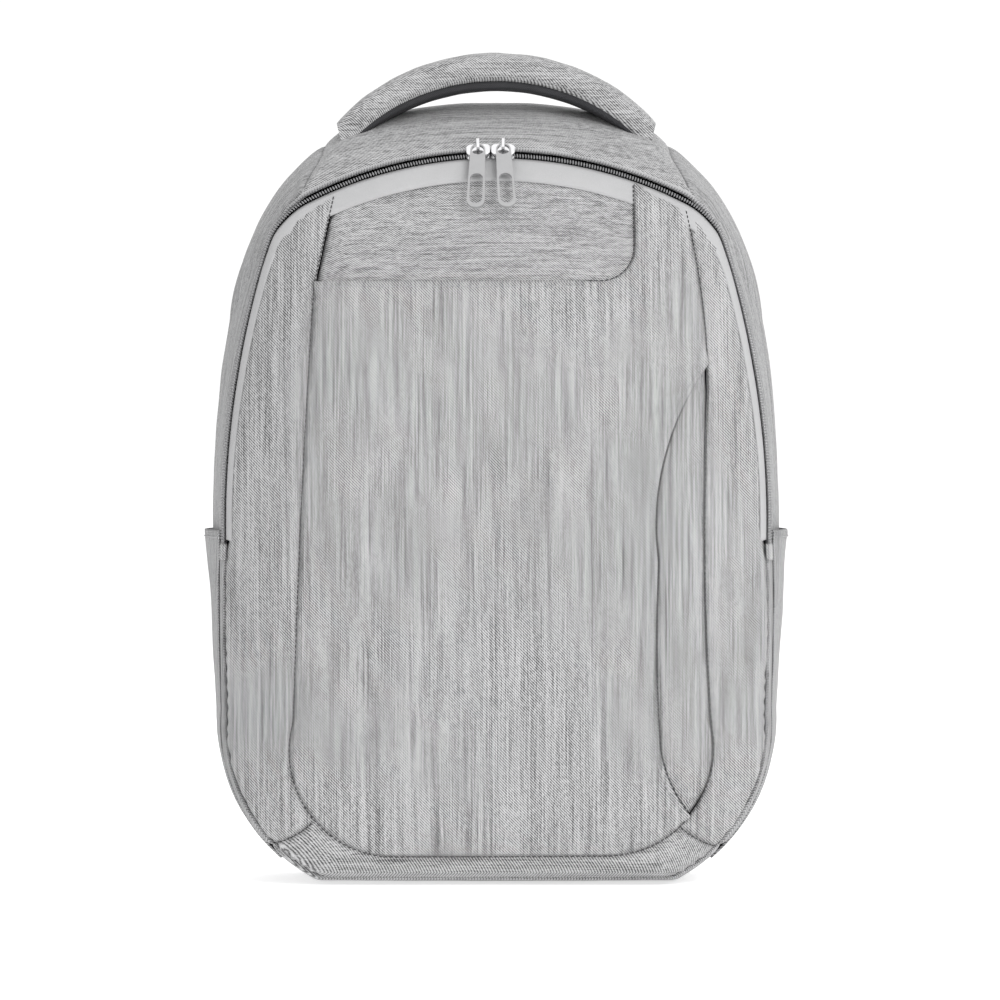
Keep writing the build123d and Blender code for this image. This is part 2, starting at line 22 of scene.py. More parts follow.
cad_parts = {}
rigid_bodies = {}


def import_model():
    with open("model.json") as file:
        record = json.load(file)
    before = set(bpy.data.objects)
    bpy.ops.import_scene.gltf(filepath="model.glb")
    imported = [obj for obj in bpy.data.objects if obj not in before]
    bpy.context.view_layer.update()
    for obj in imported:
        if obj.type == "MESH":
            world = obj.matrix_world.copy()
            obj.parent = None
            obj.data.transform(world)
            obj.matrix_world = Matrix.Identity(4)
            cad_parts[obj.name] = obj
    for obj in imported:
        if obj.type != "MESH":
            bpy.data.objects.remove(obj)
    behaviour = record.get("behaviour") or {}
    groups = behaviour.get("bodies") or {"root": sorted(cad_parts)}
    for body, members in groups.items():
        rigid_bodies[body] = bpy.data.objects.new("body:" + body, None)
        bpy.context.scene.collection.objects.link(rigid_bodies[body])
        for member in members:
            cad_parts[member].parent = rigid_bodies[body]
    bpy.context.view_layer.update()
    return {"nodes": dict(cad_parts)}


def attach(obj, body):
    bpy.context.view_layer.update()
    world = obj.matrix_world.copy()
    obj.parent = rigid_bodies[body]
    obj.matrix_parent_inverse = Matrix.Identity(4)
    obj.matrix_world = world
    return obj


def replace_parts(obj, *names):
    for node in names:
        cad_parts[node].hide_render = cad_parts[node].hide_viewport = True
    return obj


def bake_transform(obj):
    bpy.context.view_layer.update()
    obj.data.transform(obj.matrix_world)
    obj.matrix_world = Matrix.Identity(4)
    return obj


LOG = logging.getLogger("daypack")
MM = 0.001
Points = np.ndarray
Outline = list[tuple[float, float]]
Faces = list[tuple[int, ...]]


class Side(Enum):
    """The side of the pack, as the sign of X."""

    RIGHT = 1
    LEFT = -1

    @property
    def word(self) -> str:
        """The word that the frame's nodes and bodies use."""
        return self.name.lower()


class Grain(Enum):
    """How a cloth's warp lies: whether its streaks are long along X, Y and Z."""

    LEVEL = (True, False, False)
    UPRIGHT_FRONT = (False, True, True)
    UPRIGHT_SIDE = (True, False, True)


# ---------------------------------------------------------------------------------------------
# Curves and meshes


def unit(rows: Points) -> Points:
    """Scales each row to length one.

    Args:
        rows: Vectors, one in each row.

    Returns:
        The unit vectors.
    """
    return rows / np.maximum(np.linalg.norm(rows, axis=-1, keepdims=True), 1e-9)


def smoothstep(low: float, high: float, value: Points) -> Points:
    """A soft step from 0 at low to 1 at high.

    Args:
        low: Where the step starts.
        high: Where it ends; it may be below low.
        value: The values to test.

    Returns:
        The step's height at each value.
    """
    t = np.clip((value - low) / (high - low), 0, 1)
    return t * t * (3 - 2 * t)


def arc_through(a: Sequence[float], b: Sequence[float], c: Sequence[float], count: int) -> Outline:
    """Points along the circle's arc from a through b to c.

    Args:
        a: The first end.
        b: A point between the ends.
        c: The last end.
        count: The number of points, both ends included.

    Returns:
        The points, as pairs.
    """
    ax, ay, bx, by, cx, cy = *a, *b, *c
    d = 2 * (ax * (by - cy) + bx * (cy - ay) + cx * (ay - by))
    if abs(d) < 1e-6:
        return [tuple(np.array(a) + (np.array(c) - np.array(a)) * t) for t in np.linspace(0, 1, count)]
    ux = ((ax**2 + ay**2) * (by - cy) + (bx**2 + by**2) * (cy - ay) + (cx**2 + cy**2) * (ay - by)) / d
    uy = ((ax**2 + ay**2) * (cx - bx) + (bx**2 + by**2) * (ax - cx) + (cx**2 + cy**2) * (bx - ax)) / d
    radius = math.hypot(ax - ux, ay - uy)
    start, middle, end = (math.atan2(y - uy, x - ux) for x, y in ((ax, ay), (bx, by), (cx, cy)))
    turn = (end - start) % math.tau
    if (middle - start) % math.tau > turn:
        turn -= math.tau
    angles = start + turn * np.linspace(0, 1, count)
    return [(ux + radius * math.cos(t), uy + radius * math.sin(t)) for t in angles]


def resample(line: Sequence[Sequence[float]], step: float) -> Points:
    """Evenly spaced points along a polyline of any dimension.

    Args:
        line: The corners.
        step: The wanted distance between points.

    Returns:
        The points, one in each row, with both ends kept.
    """
    rows = np.array(line, float)
    along = np.concatenate([[0], np.cumsum(np.linalg.norm(np.diff(rows, axis=0), axis=1))])
    at = np.linspace(0, along[-1], max(2, round(along[-1] / step) + 1))
    return np.stack([np.interp(at, along, rows[:, k]) for k in range(rows.shape[1])], axis=1)


def distance_to_line(points: Points, line: Points) -> Points:
    """The distance from each point to a polyline in the same plane.

    Args:
        points: Points, one in each row.
        line: The polyline's corners.

    Returns:
        One distance for each point.
    """
    best = np.full(len(points), np.inf)
    for a, b in zip(line[:-1], line[1:]):
        d = b - a
        t = np.clip(((points - a) @ d) / max(float(d @ d), 1e-12), 0, 1)
        best = np.minimum(best, np.linalg.norm(points - a - t[:, None] * d, axis=1))
    return best


def inside(points: Points, outline: Points) -> Points:
    """Tests which points lie inside a closed outline.

    Args:
        points: Points, one in each row.
        outline: The outline's corners.

    Returns:
        True for each point inside.
    """
    found = np.zeros(len(points), bool)
    for (ax, ay), (bx, by) in zip(outline, np.roll(outline, -1, axis=0)):
        if ay == by:
            continue
        crosses = (ay > points[:, 1]) != (by > points[:, 1])
        found ^= crosses & (points[:, 0] < (bx - ax) * (points[:, 1] - ay) / (by - ay) + ax)
    return found


def sway(points: Points, size: float, seed: float) -> Points:
    """Smooth noise between about -1 and 1 over points in space.

    Args:
        points: Points in millimetres, one in each row.
        size: The width of a swell in millimetres.
        seed: An offset that makes one piece differ from another.

    Returns:
        One value for each point.
    """
    shifted = points / size + seed
    return np.array([noise.noise(Vector(p)) for p in shifted])


def make_mesh(
    name: str,
    points: Points,
    faces: Sequence[Sequence[int]],
    materials: Sequence[bpy.types.Material],
) -> bpy.types.Object:
    """Makes an object from points in millimetres.

    Args:
        name: The piece's name.
        points: The vertices, one in each row.
        faces: The faces' vertex indices, outward by the right-hand rule.
        materials: The materials of the slots, in order.

    Returns:
        The new object, in the scene's collection.
    """
    mesh = bpy.data.meshes.new(name)
    mesh.from_pydata((np.asarray(points) * MM).tolist(), [], [list(map(int, f)) for f in faces])
    mesh.validate()
    mesh.polygons.foreach_set("use_smooth", [True] * len(mesh.polygons))
    for material in materials:
        mesh.materials.append(material)
    made = bpy.data.objects.new(name, mesh)
    bpy.context.scene.collection.objects.link(made)
    return made


def part_caps(piece: bpy.types.Object) -> bpy.types.Object:
    """Keeps the shading of a sweep's flat ends apart from its sides."""
    mesh = piece.data
    rims = {key for face in mesh.polygons if len(face.vertices) > 4 for key in face.edge_keys}
    for edge in mesh.edges:
        if edge.key in rims:
            edge.use_edge_sharp = True
    return piece


def grid_faces(rows: int, columns: int, close_columns: bool = False) -> Faces:
    """The quads of a grid of vertices that is stored row by row.

    Args:
        rows: The number of rows.
        columns: The number of columns.
        close_columns: Whether the last column joins the first.

    Returns:
        The faces.
    """
    faces = []
    for i in range(rows - 1):
        for j in range(columns if close_columns else columns - 1):
            k = (j + 1) % columns
            faces.append((i * columns + j, i * columns + k, (i + 1) * columns + k, (i + 1) * columns + j))
    return faces


def thicken(piece: bpy.types.Object, depth: float, inner_slot: int = 0) -> bpy.types.Object:
    """Gives an open sheet its thickness, behind its face.

    Args:
        piece: The sheet.
        depth: The thickness in millimetres.
        inner_slot: How many slots further the inner side's material is.

    Returns:
        The same piece.
    """
    wall = piece.modifiers.new("thickness", "SOLIDIFY")
    wall.thickness = depth * MM
    wall.offset = -1.0
    wall.material_offset = inner_slot
    wall.material_offset_rim = 0
    return piece


def bake_modifiers(piece: bpy.types.Object) -> bpy.types.Object:
    """Replaces a piece's mesh with its evaluated one and removes its modifiers.

    Args:
        piece: The piece, with live modifiers.

    Returns:
        The same piece.
    """
    bpy.context.view_layer.update()
    evaluated = piece.evaluated_get(bpy.context.evaluated_depsgraph_get())
    mesh = bpy.data.meshes.new_from_object(evaluated)
    piece.modifiers.clear()
    old = piece.data
    piece.data = mesh
    bpy.data.meshes.remove(old)
    mesh.name = piece.name
    return piece


def recalculate(piece: bpy.types.Object) -> bpy.types.Object:
    """Turns a closed mesh's faces outwards and returns the same piece."""
    shape = bmesh.new()
    shape.from_mesh(piece.data)
    bmesh.ops.recalc_face_normals(shape, faces=shape.faces)
    shape.to_mesh(piece.data)
    shape.free()
    return piece


# ---------------------------------------------------------------------------------------------
# Finishes


class Maths:
    """A number socket whose Python operators add Math nodes."""

    def __init__(self, recipe: "Recipe", socket: bpy.types.NodeSocket) -> None:
        """Keeps the socket and the recipe that it is in."""
        self.recipe = recipe
        self.socket = socket

    def _with(self, operation: str, *values: Any) -> "Maths":
        """Adds one Math node on these values."""
        return self.recipe.maths(operation, *values)

    def __add__(self, other: Any) -> "Maths":
        """self + other."""
        return self._with("ADD", self, other)

    __radd__ = __add__

    def __sub__(self, other: Any) -> "Maths":
        """self - other."""
        return self._with("SUBTRACT", self, other)

    def __rsub__(self, other: Any) -> "Maths":
        """other - self."""
        return self._with("SUBTRACT", other, self)

    def __mul__(self, other: Any) -> "Maths":
        """self * other."""
        return self._with("MULTIPLY", self, other)

    __rmul__ = __mul__

    def sine(self) -> "Maths":
        """The sine."""
        return self._with("SINE", self)

    def clamped(self) -> "Maths":
        """The value held between 0 and 1."""
        return self._with("MINIMUM", self._with("MAXIMUM", self, 0.0), 1.0)


class Recipe:
    """A node material under construction."""

    def __init__(self, name: str, color: Sequence[float]) -> None:
        """Starts an empty material with a Principled shader.

        Args:
            name: The material's name.
            color: Its plain colour, for the viewport.
        """
        self.material = bpy.data.materials.new(name)
        self.material.use_nodes = True
        self.material.diffuse_color = (*color, 1.0)
        self.tree = self.material.node_tree
        self.tree.nodes.clear()
        self.shader = self.node("ShaderNodeBsdfPrincipled")
        output = self.node("ShaderNodeOutputMaterial")
        self.tree.links.new(self.shader.outputs[0], output.inputs["Surface"])
        self.position = self.node("ShaderNodeTexCoord").outputs["Object"]

    def node(
        self, kind: str, settings: dict[str, Any] | None = None, inputs: dict[Any, Any] | None = None
    ) -> bpy.types.Node:
        """Adds a node.

        Args:
            kind: The node's type.
            settings: Properties to set first.
            inputs: Values, sockets or Maths for its inputs, by name or index.

        Returns:
            The node.
        """
        made = self.tree.nodes.new(kind)
        for key, value in (settings or {}).items():
            setattr(made, key, value)
        for key, value in (inputs or {}).items():
            self.feed(made.inputs[key], value)
        return made

    def feed(self, socket: bpy.types.NodeSocket, value: Any) -> None:
        """Sets a socket's value, or links something to it."""
        if isinstance(value, Maths):
            value = value.socket
        if isinstance(value, bpy.types.NodeSocket):
            self.tree.links.new(value, socket)
        else:
            socket.default_value = value

    def maths(self, operation: str, *values: Any) -> Maths:
        """Adds a Math node and wraps its result."""
        made = self.node("ShaderNodeMath", {"operation": operation}, dict(enumerate(values)))
        return Maths(self, made.outputs[0])

    def axis(self, index: int) -> Maths:
        """One coordinate of the object's position, in millimetres."""
        split = self.node("ShaderNodeSeparateXYZ", inputs={0: self.position})
        return Maths(self, split.outputs[index]) * 1000.0

    def noise(self, wavelengths: Sequence[float], detail: float = 2.0, roughness: float = 0.5) -> Maths:
        """Noise over the object's position.

        Args:
            wavelengths: The swell's size along X, Y and Z in millimetres.
            detail: The octaves.
            roughness: The strength of the finer octaves.

        Returns:
            The noise, about 0 to 1.
        """
        scale = [1000.0 / w for w in wavelengths]
        placed = self.node("ShaderNodeMapping", inputs={"Vector": self.position, "Scale": scale})
        made = self.node(
            "ShaderNodeTexNoise",
            inputs={"Vector": placed.outputs[0], "Scale": 1.0, "Detail": detail, "Roughness": roughness},
        )
        return Maths(self, made.outputs["Fac"])

    def mix(self, factor: Any, low: Any, high: Any) -> bpy.types.NodeSocket:
        """Mixes two colours."""
        made = self.node("ShaderNodeMix", {"data_type": "RGBA", "clamp_factor": True})
        colors = [s for s in made.inputs if s.type == "RGBA"]
        self.feed(made.inputs[0], factor)
        for socket, value in zip(colors, (low, high)):
            self.feed(socket, (*value, 1.0) if isinstance(value, tuple) and len(value) == 3 else value)
        return next(s for s in made.outputs if s.type == "RGBA")

    def finish(
        self, color: Any, roughness: Any, height: Any = None, relief: float = 0.0, **fixed: float
    ) -> bpy.types.Material:
        """Feeds the shader.

        Args:
            color: The base colour.
            roughness: The roughness.
            height: The bump's height, 0 to 1, or None.
            relief: The bump's depth in millimetres.
            **fixed: Constant shader inputs, with _ for a space.

        Returns:
            The material.
        """
        self.feed(self.shader.inputs["Base Color"], color)
        self.feed(self.shader.inputs["Roughness"], roughness)
        if height is not None:
            values = {"Height": height, "Distance": relief * MM, "Strength": 1.0}
            bump = self.node("ShaderNodeBump", inputs=values)
            self.tree.links.new(bump.outputs[0], self.shader.inputs["Normal"])
        for key, value in fixed.items():
            self.shader.inputs[key.replace("_", " ").title()].default_value = value
        return self.material


@dataclass(frozen=True)
class HeatherTwill:
    """Melange polyester: a diagonal twill with long pale and dark slubs along its warp."""

    name: str
    grain: Grain
    slant: tuple[float, float] = (1.0, 0.0)
    dark: tuple[float, float, float] = (0.035, 0.035, 0.036)
    light: tuple[float, float, float] = (0.56, 0.56, 0.565)
    twill_pitch: float = 1.55

    def sizes(self, across: float, along: float) -> list[float]:
        """A streak's size along X, Y and Z in millimetres."""
        return [along if long else across for long in self.grain.value]

    def make(self) -> bpy.types.Material:
        """Builds the material."""
        recipe = Recipe(self.name, self.light)
        slub = recipe.noise(self.sizes(0.9, 48.0), 2.0, 0.6)
        band = recipe.noise(self.sizes(4.0, 150.0), 2.0, 0.5)
        fleck = recipe.noise(self.sizes(0.8, 2.4), 2.0, 0.7)
        rare = recipe.noise(self.sizes(1.5, 70.0), 1.0, 0.5)
        diagonal = recipe.axis(0) * self.slant[0] + recipe.axis(1) * self.slant[1] + recipe.axis(2)
        twill = (diagonal * (math.tau / self.twill_pitch) + fleck * 1.6).sine() * 0.5 + 0.5
        streak = ((rare - 0.60) * 5.0).clamped()
        tone = (slub - 0.5) * 1.2 + (band - 0.5) * 0.42 + (fleck - 0.5) * 1.15 - streak * 0.34
        shade = (tone + (twill - 0.5) * 0.84 + 0.56).clamped()
        color = recipe.mix(shade, self.dark, self.light)
        height = twill * 0.7 + fleck * 0.4
        rough = 0.90 - shade * 0.06
        return recipe.finish(color, rough, height, 0.14, sheen_weight=0.10, sheen_roughness=0.5)


@dataclass(frozen=True)
class PlainWeave:
    """A plain woven cloth or tape, ribbed along one or two axes."""

    name: str
    dark: tuple[float, float, float]
    light: tuple[float, float, float]
    pitch: float = 0.7
    relief: float = 0.12
    roughness: float = 0.85

    def make(self) -> bpy.types.Material:
        """Builds the material."""
        recipe = Recipe(self.name, self.light)
        wave = math.tau / self.pitch
        warp = ((recipe.axis(0) + recipe.axis(1) * 0.7) * wave).sine()
        weft = ((recipe.axis(2) + recipe.axis(1) * 0.7) * wave).sine()
        over = warp * weft
        worn = recipe.noise([22.0] * 3, 3.0, 0.6)
        thread = recipe.noise([0.5] * 3, 1.0, 0.5)
        shade = (over * 0.28 + (worn - 0.5) * 0.6 + (thread - 0.5) * 0.5 + 0.5).clamped()
        color = recipe.mix(shade, self.dark, self.light)
        return recipe.finish(color, self.roughness - worn * 0.05, over * 0.5 + thread * 0.4, self.relief)


@dataclass(frozen=True)
class AirMesh:
    """Black spacer mesh with round holes in a honeycomb."""

    name: str
    pitch: float = 3.4

    def make(self) -> bpy.types.Material:
        """Builds the material."""
        recipe = Recipe(self.name, (0.05, 0.05, 0.05))
        scale = 1000.0 / self.pitch
        placing = {"Vector": recipe.position, "Scale": (scale, 0.0, scale)}
        flat = recipe.node("ShaderNodeMapping", inputs=placing)
        values = {"Vector": flat.outputs[0], "Scale": 1.0, "Randomness": 0.15}
        cells = recipe.node("ShaderNodeTexVoronoi", {"feature": "F1"}, values)
        hole = (Maths(recipe, cells.outputs["Distance"]) * 2.4).clamped()
        fuzz = recipe.noise([0.6] * 3, 2.0, 0.6)
        # The holes are real openings; their near-black colour is painted shade inside them.
        color = recipe.mix((hole * 0.8 + fuzz * 0.3).clamped(), (0.006, 0.006, 0.007), (0.075, 0.075, 0.08))
        return recipe.finish(color, 0.85 - fuzz * 0.1, hole + fuzz * 0.2, 0.5)


@dataclass(frozen=True)
class Webbing:
    """Woven strap with fine ribs along and across it."""

    name: str
    color: tuple[float, float, float]

    def make(self) -> bpy.types.Material:
        """Builds the material."""
        recipe = Recipe(self.name, self.color)
        along = (recipe.axis(2) * (math.tau / 1.25)).sine()
        across = (recipe.axis(0) * (math.tau / 1.7)).sine()
        fuzz = recipe.noise([0.5, 0.5, 1.6], 2.0, 0.6)
        shade = (along * 0.16 + across * 0.22 + (fuzz - 0.5) * 0.7 + 0.45).clamped()
        dark = tuple(c * 0.5 for c in self.color)
        light = tuple(min(1.0, c * 1.9) for c in self.color)
        color = recipe.mix(shade, dark, light)
        return recipe.finish(color, 0.72 + fuzz * 0.1, along * 0.4 + across * 0.5, 0.22)


@dataclass(frozen=True)
class PolishedMetal:
    """Nickel plate with fine scratches and handling marks."""

    name: str
    color: tuple[float, float, float] = (0.72, 0.72, 0.73)
    roughness: float = 0.16

    def make(self) -> bpy.types.Material:
        """Builds the material."""
        recipe = Recipe(self.name, self.color)
        smear = recipe.noise([2.4] * 3, 4.0, 0.65)
        scratch = recipe.noise([0.12, 4.0, 4.0], 2.0, 0.5)
        dark = tuple(c * 0.82 for c in self.color)
        color = recipe.mix(smear, dark, self.color)
        return recipe.finish(color, smear * 0.2 + self.roughness - 0.08, scratch, 0.01, metallic=1.0)


@dataclass(frozen=True)
class Enamel:
    """Satin paint over cast metal, a little uneven and paler where it is thin."""

    name: str
    color: tuple[float, float, float] = (0.40, 0.40, 0.405)

    def make(self) -> bpy.types.Material:
        """Builds the material."""
        recipe = Recipe(self.name, self.color)
        peel = recipe.noise([0.9] * 3, 2.0, 0.5)
        patch = recipe.noise([6.0] * 3, 3.0, 0.6)
        dark = tuple(c * 0.88 for c in self.color)
        color = recipe.mix(patch, dark, self.color)
        return recipe.finish(color, patch * 0.1 + 0.32, peel, 0.03, metallic=0.35, coat_weight=0.25)


@dataclass(frozen=True)
class MouldedPlastic:
    """Moulded acetal with a fine grain."""

    name: str
    color: tuple[float, float, float]
    roughness: float = 0.42
    grain: float = 0.35

    def make(self) -> bpy.types.Material:
        """Builds the material."""
        recipe = Recipe(self.name, self.color)
        grain = recipe.noise([self.grain] * 3, 2.0, 0.6)
        patch = recipe.noise([9.0] * 3, 2.0, 0.5)
        light = tuple(min(1.0, c * 1.3) for c in self.color)
        return recipe.finish(
            recipe.mix(patch, self.color, light), grain * 0.12 + self.roughness - 0.05, grain, 0.03
        )


@dataclass
class Finishes:
    """Every finish of the pack, built once."""

    upright: bpy.types.Material = field(init=False)
    # flank is the side panels' heather: the same cloth as upright, with painted shade in its darker pale
    # tone.
    flank: bpy.types.Material = field(init=False)
    level: bpy.types.Material = field(init=False)
    # seam is the near-black thread: real stitches, with painted shade of the seam valleys in its colour.
    seam: bpy.types.Material = field(init=False)
    lining: bpy.types.Material = field(init=False)
    hand_lining: bpy.types.Material = field(init=False)
    back: bpy.types.Material = field(init=False)
    mesh: bpy.types.Material = field(init=False)
    binding: bpy.types.Material = field(init=False)
    tape: bpy.types.Material = field(init=False)
    coil: bpy.types.Material = field(init=False)
    thread: bpy.types.Material = field(init=False)
    nickel: bpy.types.Material = field(init=False)
    enamel: bpy.types.Material = field(init=False)
    webbing: bpy.types.Material = field(init=False)
    plastic: bpy.types.Material = field(init=False)

    def __post_init__(self) -> None:
        """Builds the materials."""
        self.upright = HeatherTwill("heather_upright", Grain.UPRIGHT_FRONT).make()
        # The sides' pale tone is lowered from 0.56 to 0.50: painted shade of the side panels.
        self.flank = HeatherTwill(
            "heather_flank", Grain.UPRIGHT_SIDE, slant=(0.0, 1.0), light=(0.50, 0.50, 0.505)
        ).make()
        self.level = HeatherTwill("heather_level", Grain.LEVEL, (1.0, 0.6)).make()
        # The seam thread is near black: the stitches are real, and their dark colour is painted shade of the
        # seam valleys and of the shadow rows under the pocket's edges.
        self.seam = PlainWeave("seam_thread", (0.02, 0.02, 0.021), (0.07, 0.07, 0.072), 0.4, 0.08).make()
        self.lining = PlainWeave("grey_lining", (0.045, 0.045, 0.05), (0.13, 0.13, 0.14), 0.8, 0.1).make()
        self.hand_lining = PlainWeave(
            "black_hand_lining", (0.008, 0.008, 0.009), (0.045, 0.045, 0.05), 1.1, 0.25
        ).make()
        self.back = PlainWeave("dark_back_cloth", (0.03, 0.03, 0.033), (0.11, 0.11, 0.115), 0.9, 0.15).make()
        self.mesh = AirMesh("air_mesh").make()
        self.binding = PlainWeave("grey_binding", (0.12, 0.12, 0.123), (0.27, 0.27, 0.275), 0.9, 0.18).make()
        self.tape = PlainWeave("zip_tape", (0.38, 0.38, 0.385), (0.50, 0.50, 0.505), 0.6, 0.06).make()
        self.coil = MouldedPlastic("zip_coil", (0.20, 0.20, 0.205), 0.38).make()
        self.thread = PlainWeave("grey_thread", (0.26, 0.26, 0.265), (0.48, 0.48, 0.485), 0.4, 0.08).make()
        self.nickel = PolishedMetal("nickel").make()
        self.enamel = Enamel("grey_enamel").make()
        self.webbing = Webbing("dark_webbing", (0.075, 0.075, 0.08)).make()
        self.plastic = MouldedPlastic("dark_plastic", (0.022, 0.022, 0.024)).make()


# ---------------------------------------------------------------------------------------------
# The body's surface


@dataclass(frozen=True)
class Station:
    """The body's outline at one depth.

    Its points lie between arcs on the right half: corner, arc, side, arc, zip end, arc, shoulder,
    arc, top corner, top middle.
    """

    y_top: float
    y_low: float
    points: tuple[tuple[float, float], ...]

    def sampled(self, per_arc: int) -> Points:
        """The right half's outline as X, Y and Z, from the base's middle up to the top's middle."""
        first = self.points[0]
        line: Outline = [(first[0] * t, first[1]) for t in np.linspace(0, 1, per_arc, endpoint=False)]
        for i in (0, 2, 4, 6):
            line += arc_through(*self.points[i : i + 3], per_arc + 1)[:-1]
        corner, top = self.points[8], self.points[9]
        whole = arc_through(corner, top, (-corner[0], corner[1]), 2 * per_arc + 1)
        line += whole[: per_arc + 1]
        flat = np.array(line)
        low, high = first[1], top[1]
        y = self.y_low + (self.y_top - self.y_low) * (flat[:, 1] - low) / max(high - low, 1e-6)
        return np.column_stack([flat[:, 0], y, flat[:, 1]])


@dataclass
class Body:
    """The pack's outer surface, which every panel lies on.

    A point on it is named by depth, from 0 at the back to 8 at the front's middle, and by round,
    from -1 at the base's middle through 0 at its corner to 5 at the top's middle.
    """

    zip_top: tuple[float, float] = (-28.0, 389.5)
    zip_lean: float = math.atan(16 / 208.5)
    zip_radii: tuple[float, ...] = (224.6, 44.0, 477.0)
    zip_headings: tuple[float, ...] = (0.0, 26.4, 72.0, 91.5)
    per_arc: int = 40
    table: Points = field(init=False)

    def __post_init__(self) -> None:
        """Samples the outlines and the front's depth."""
        zip_side = [self.zip_point(heading) for heading in (91.5, 83, 72, 49, 26.4)]
        zip_line = ((94, 1.5), (130, 33), (145.5, 92), (146.5, 137), *zip_side)
        stations = (
            Station(55, 55, (
                (92, 8), (122, 36), (139, 94), (141, 137), (142, 181),
                (140.5, 235), (133, 292), (117, 350), (72, 397), (0, 410),
            )),
            Station(42, 42, (
                (98, 0), (133, 33), (148, 92), (149.5, 137), (151.5, 181),
                (150.5, 238), (143, 300), (126, 358), (80, 406), (0, 419),
            )),
            Station(5, 5, (
                (98, 0), (133, 33), (148, 92), (149.5, 137), (152, 181),
                (151, 238), (143, 300), (125.5, 356), (82, 398), (0, 408),
            )),
            Station(self.zip_top[0], self.zip_y(1.5), (*zip_line, (0, self.zip_top[1]))),
            Station(-52, -70, (
                (86, 11), (119, 33), (134, 88), (136.5, 134), (137, 181),
                (134, 237), (124, 292), (108, 325), (70, 345), (0, 355),
            )),
            Station(-71, -79.5, (
                (76, 24), (107, 43), (119, 90), (121, 134), (121, 181),
                (118, 228), (110, 272), (97, 300), (60, 316), (0, 322),
            )),
            Station(-84.5, -85, (
                (60, 44), (88, 58), (98, 95), (99, 134), (99, 181),
                (97, 222), (91, 250), (79, 268), (50, 278), (0, 281),
            )),
        )
        rows = [s.sampled(self.per_arc) for s in stations]
        middle = np.array([0.0, -88.0, 168.0])
        for shrink, y in ((0.5, -87.2), (0.0, -88.0)):
            row = middle + (rows[6] - middle) * shrink
            row[:, 1] = y
            rows.append(row)
        self.table = np.array(rows)
        self._measure_front()

    def zip_point(self, heading: float) -> tuple[float, float]:
        """X and Z of the zip's centreline where it heads so many degrees below level."""
        x = down = 0.0
        for radius, start, end in zip(self.zip_radii, self.zip_headings, self.zip_headings[1:]):
            a = math.radians(start)
            b = math.radians(min(max(heading, start), end))
            x += radius * (math.sin(b) - math.sin(a))
            down += radius * (math.cos(a) - math.cos(b))
        return x, self.zip_top[1] - down * math.cos(self.zip_lean)

    def zip_y(self, z: float) -> float:
        """Y of the zip's plane at a height."""
        return self.zip_top[0] - (self.zip_top[1] - z) * math.tan(self.zip_lean)

    def ahead_of_zip(self, points: Points) -> Points:
        """How far points lie in front of the zip's plane."""
        back = points[..., 1] - self.zip_top[0]
        up = points[..., 2] - self.zip_top[1]
        return -back * math.cos(self.zip_lean) + up * math.sin(self.zip_lean)

    def at(self, depth: Points, around: Points, side: int = 1) -> Points:
        """Points on the surface.

        Args:
            depth: The depths, 0 to 8.
            around: The places round the outline, -1 to 5.
            side: 1 for the right half, -1 for the left.

        Returns:
            The points, in rows.
        """
        depth, around = np.broadcast_arrays(np.asarray(depth, float), np.asarray(around, float))
        place = np.clip((around + 1) * self.per_arc, 0, self.table.shape[1] - 1.001)
        low = place.astype(int)
        part = (place - low)[..., None]
        i = np.clip(depth.astype(int), 0, len(self.table) - 2)
        t = (depth - i)[..., None]
        rows = []
        for k in (-1, 0, 1, 2):
            row = np.clip(i + k, 0, len(self.table) - 1)
            rows.append(self.table[row, low] * (1 - part) + self.table[row, low + 1] * part)
        a, b, c, d = rows
        tangent_b = (c - a) / 2
        tangent_c = (d - b) / 2
        limit = np.abs(c - b) * 1.5
        tangent_b = np.clip(tangent_b, -limit, limit)
        tangent_c = np.clip(tangent_c, -limit, limit)
        t2, t3 = t * t, t * t * t
        found = b * (2 * t3 - 3 * t2 + 1) + tangent_b * (t3 - 2 * t2 + t)
        found = found + c * (3 * t2 - 2 * t3) + tangent_c * (t3 - t2)
        found[..., 0] *= side
        return found

    def normals(self, depth: Points, around: Points, side: int = 1) -> Points:
        """Outward unit normals on the surface; the arguments are those of at."""
        d = np.asarray(depth, float)
        p = np.asarray(around, float)
        along = self.at(np.clip(d + 0.04, 0, 7.9), p, side) - self.at(np.clip(d - 0.04, 0, 7.9), p, side)
        round_it = self.at(d, np.clip(p + 0.06, -1, 5), side) - self.at(d, np.clip(p - 0.06, -1, 5), side)
        out = unit(np.cross(round_it, along)) * side
        return -out

    def depth_at(self, ahead: float, around: Points) -> Points:
        """The depth where the surface is a given distance in front of the zip's plane."""
        depths = np.linspace(1.0, 6.0, 251)
        grid = self.at(depths[:, None], np.asarray(around)[None, :])
        gap = self.ahead_of_zip(grid)
        return np.array([np.interp(ahead, gap[:, j], depths) for j in range(gap.shape[1])])

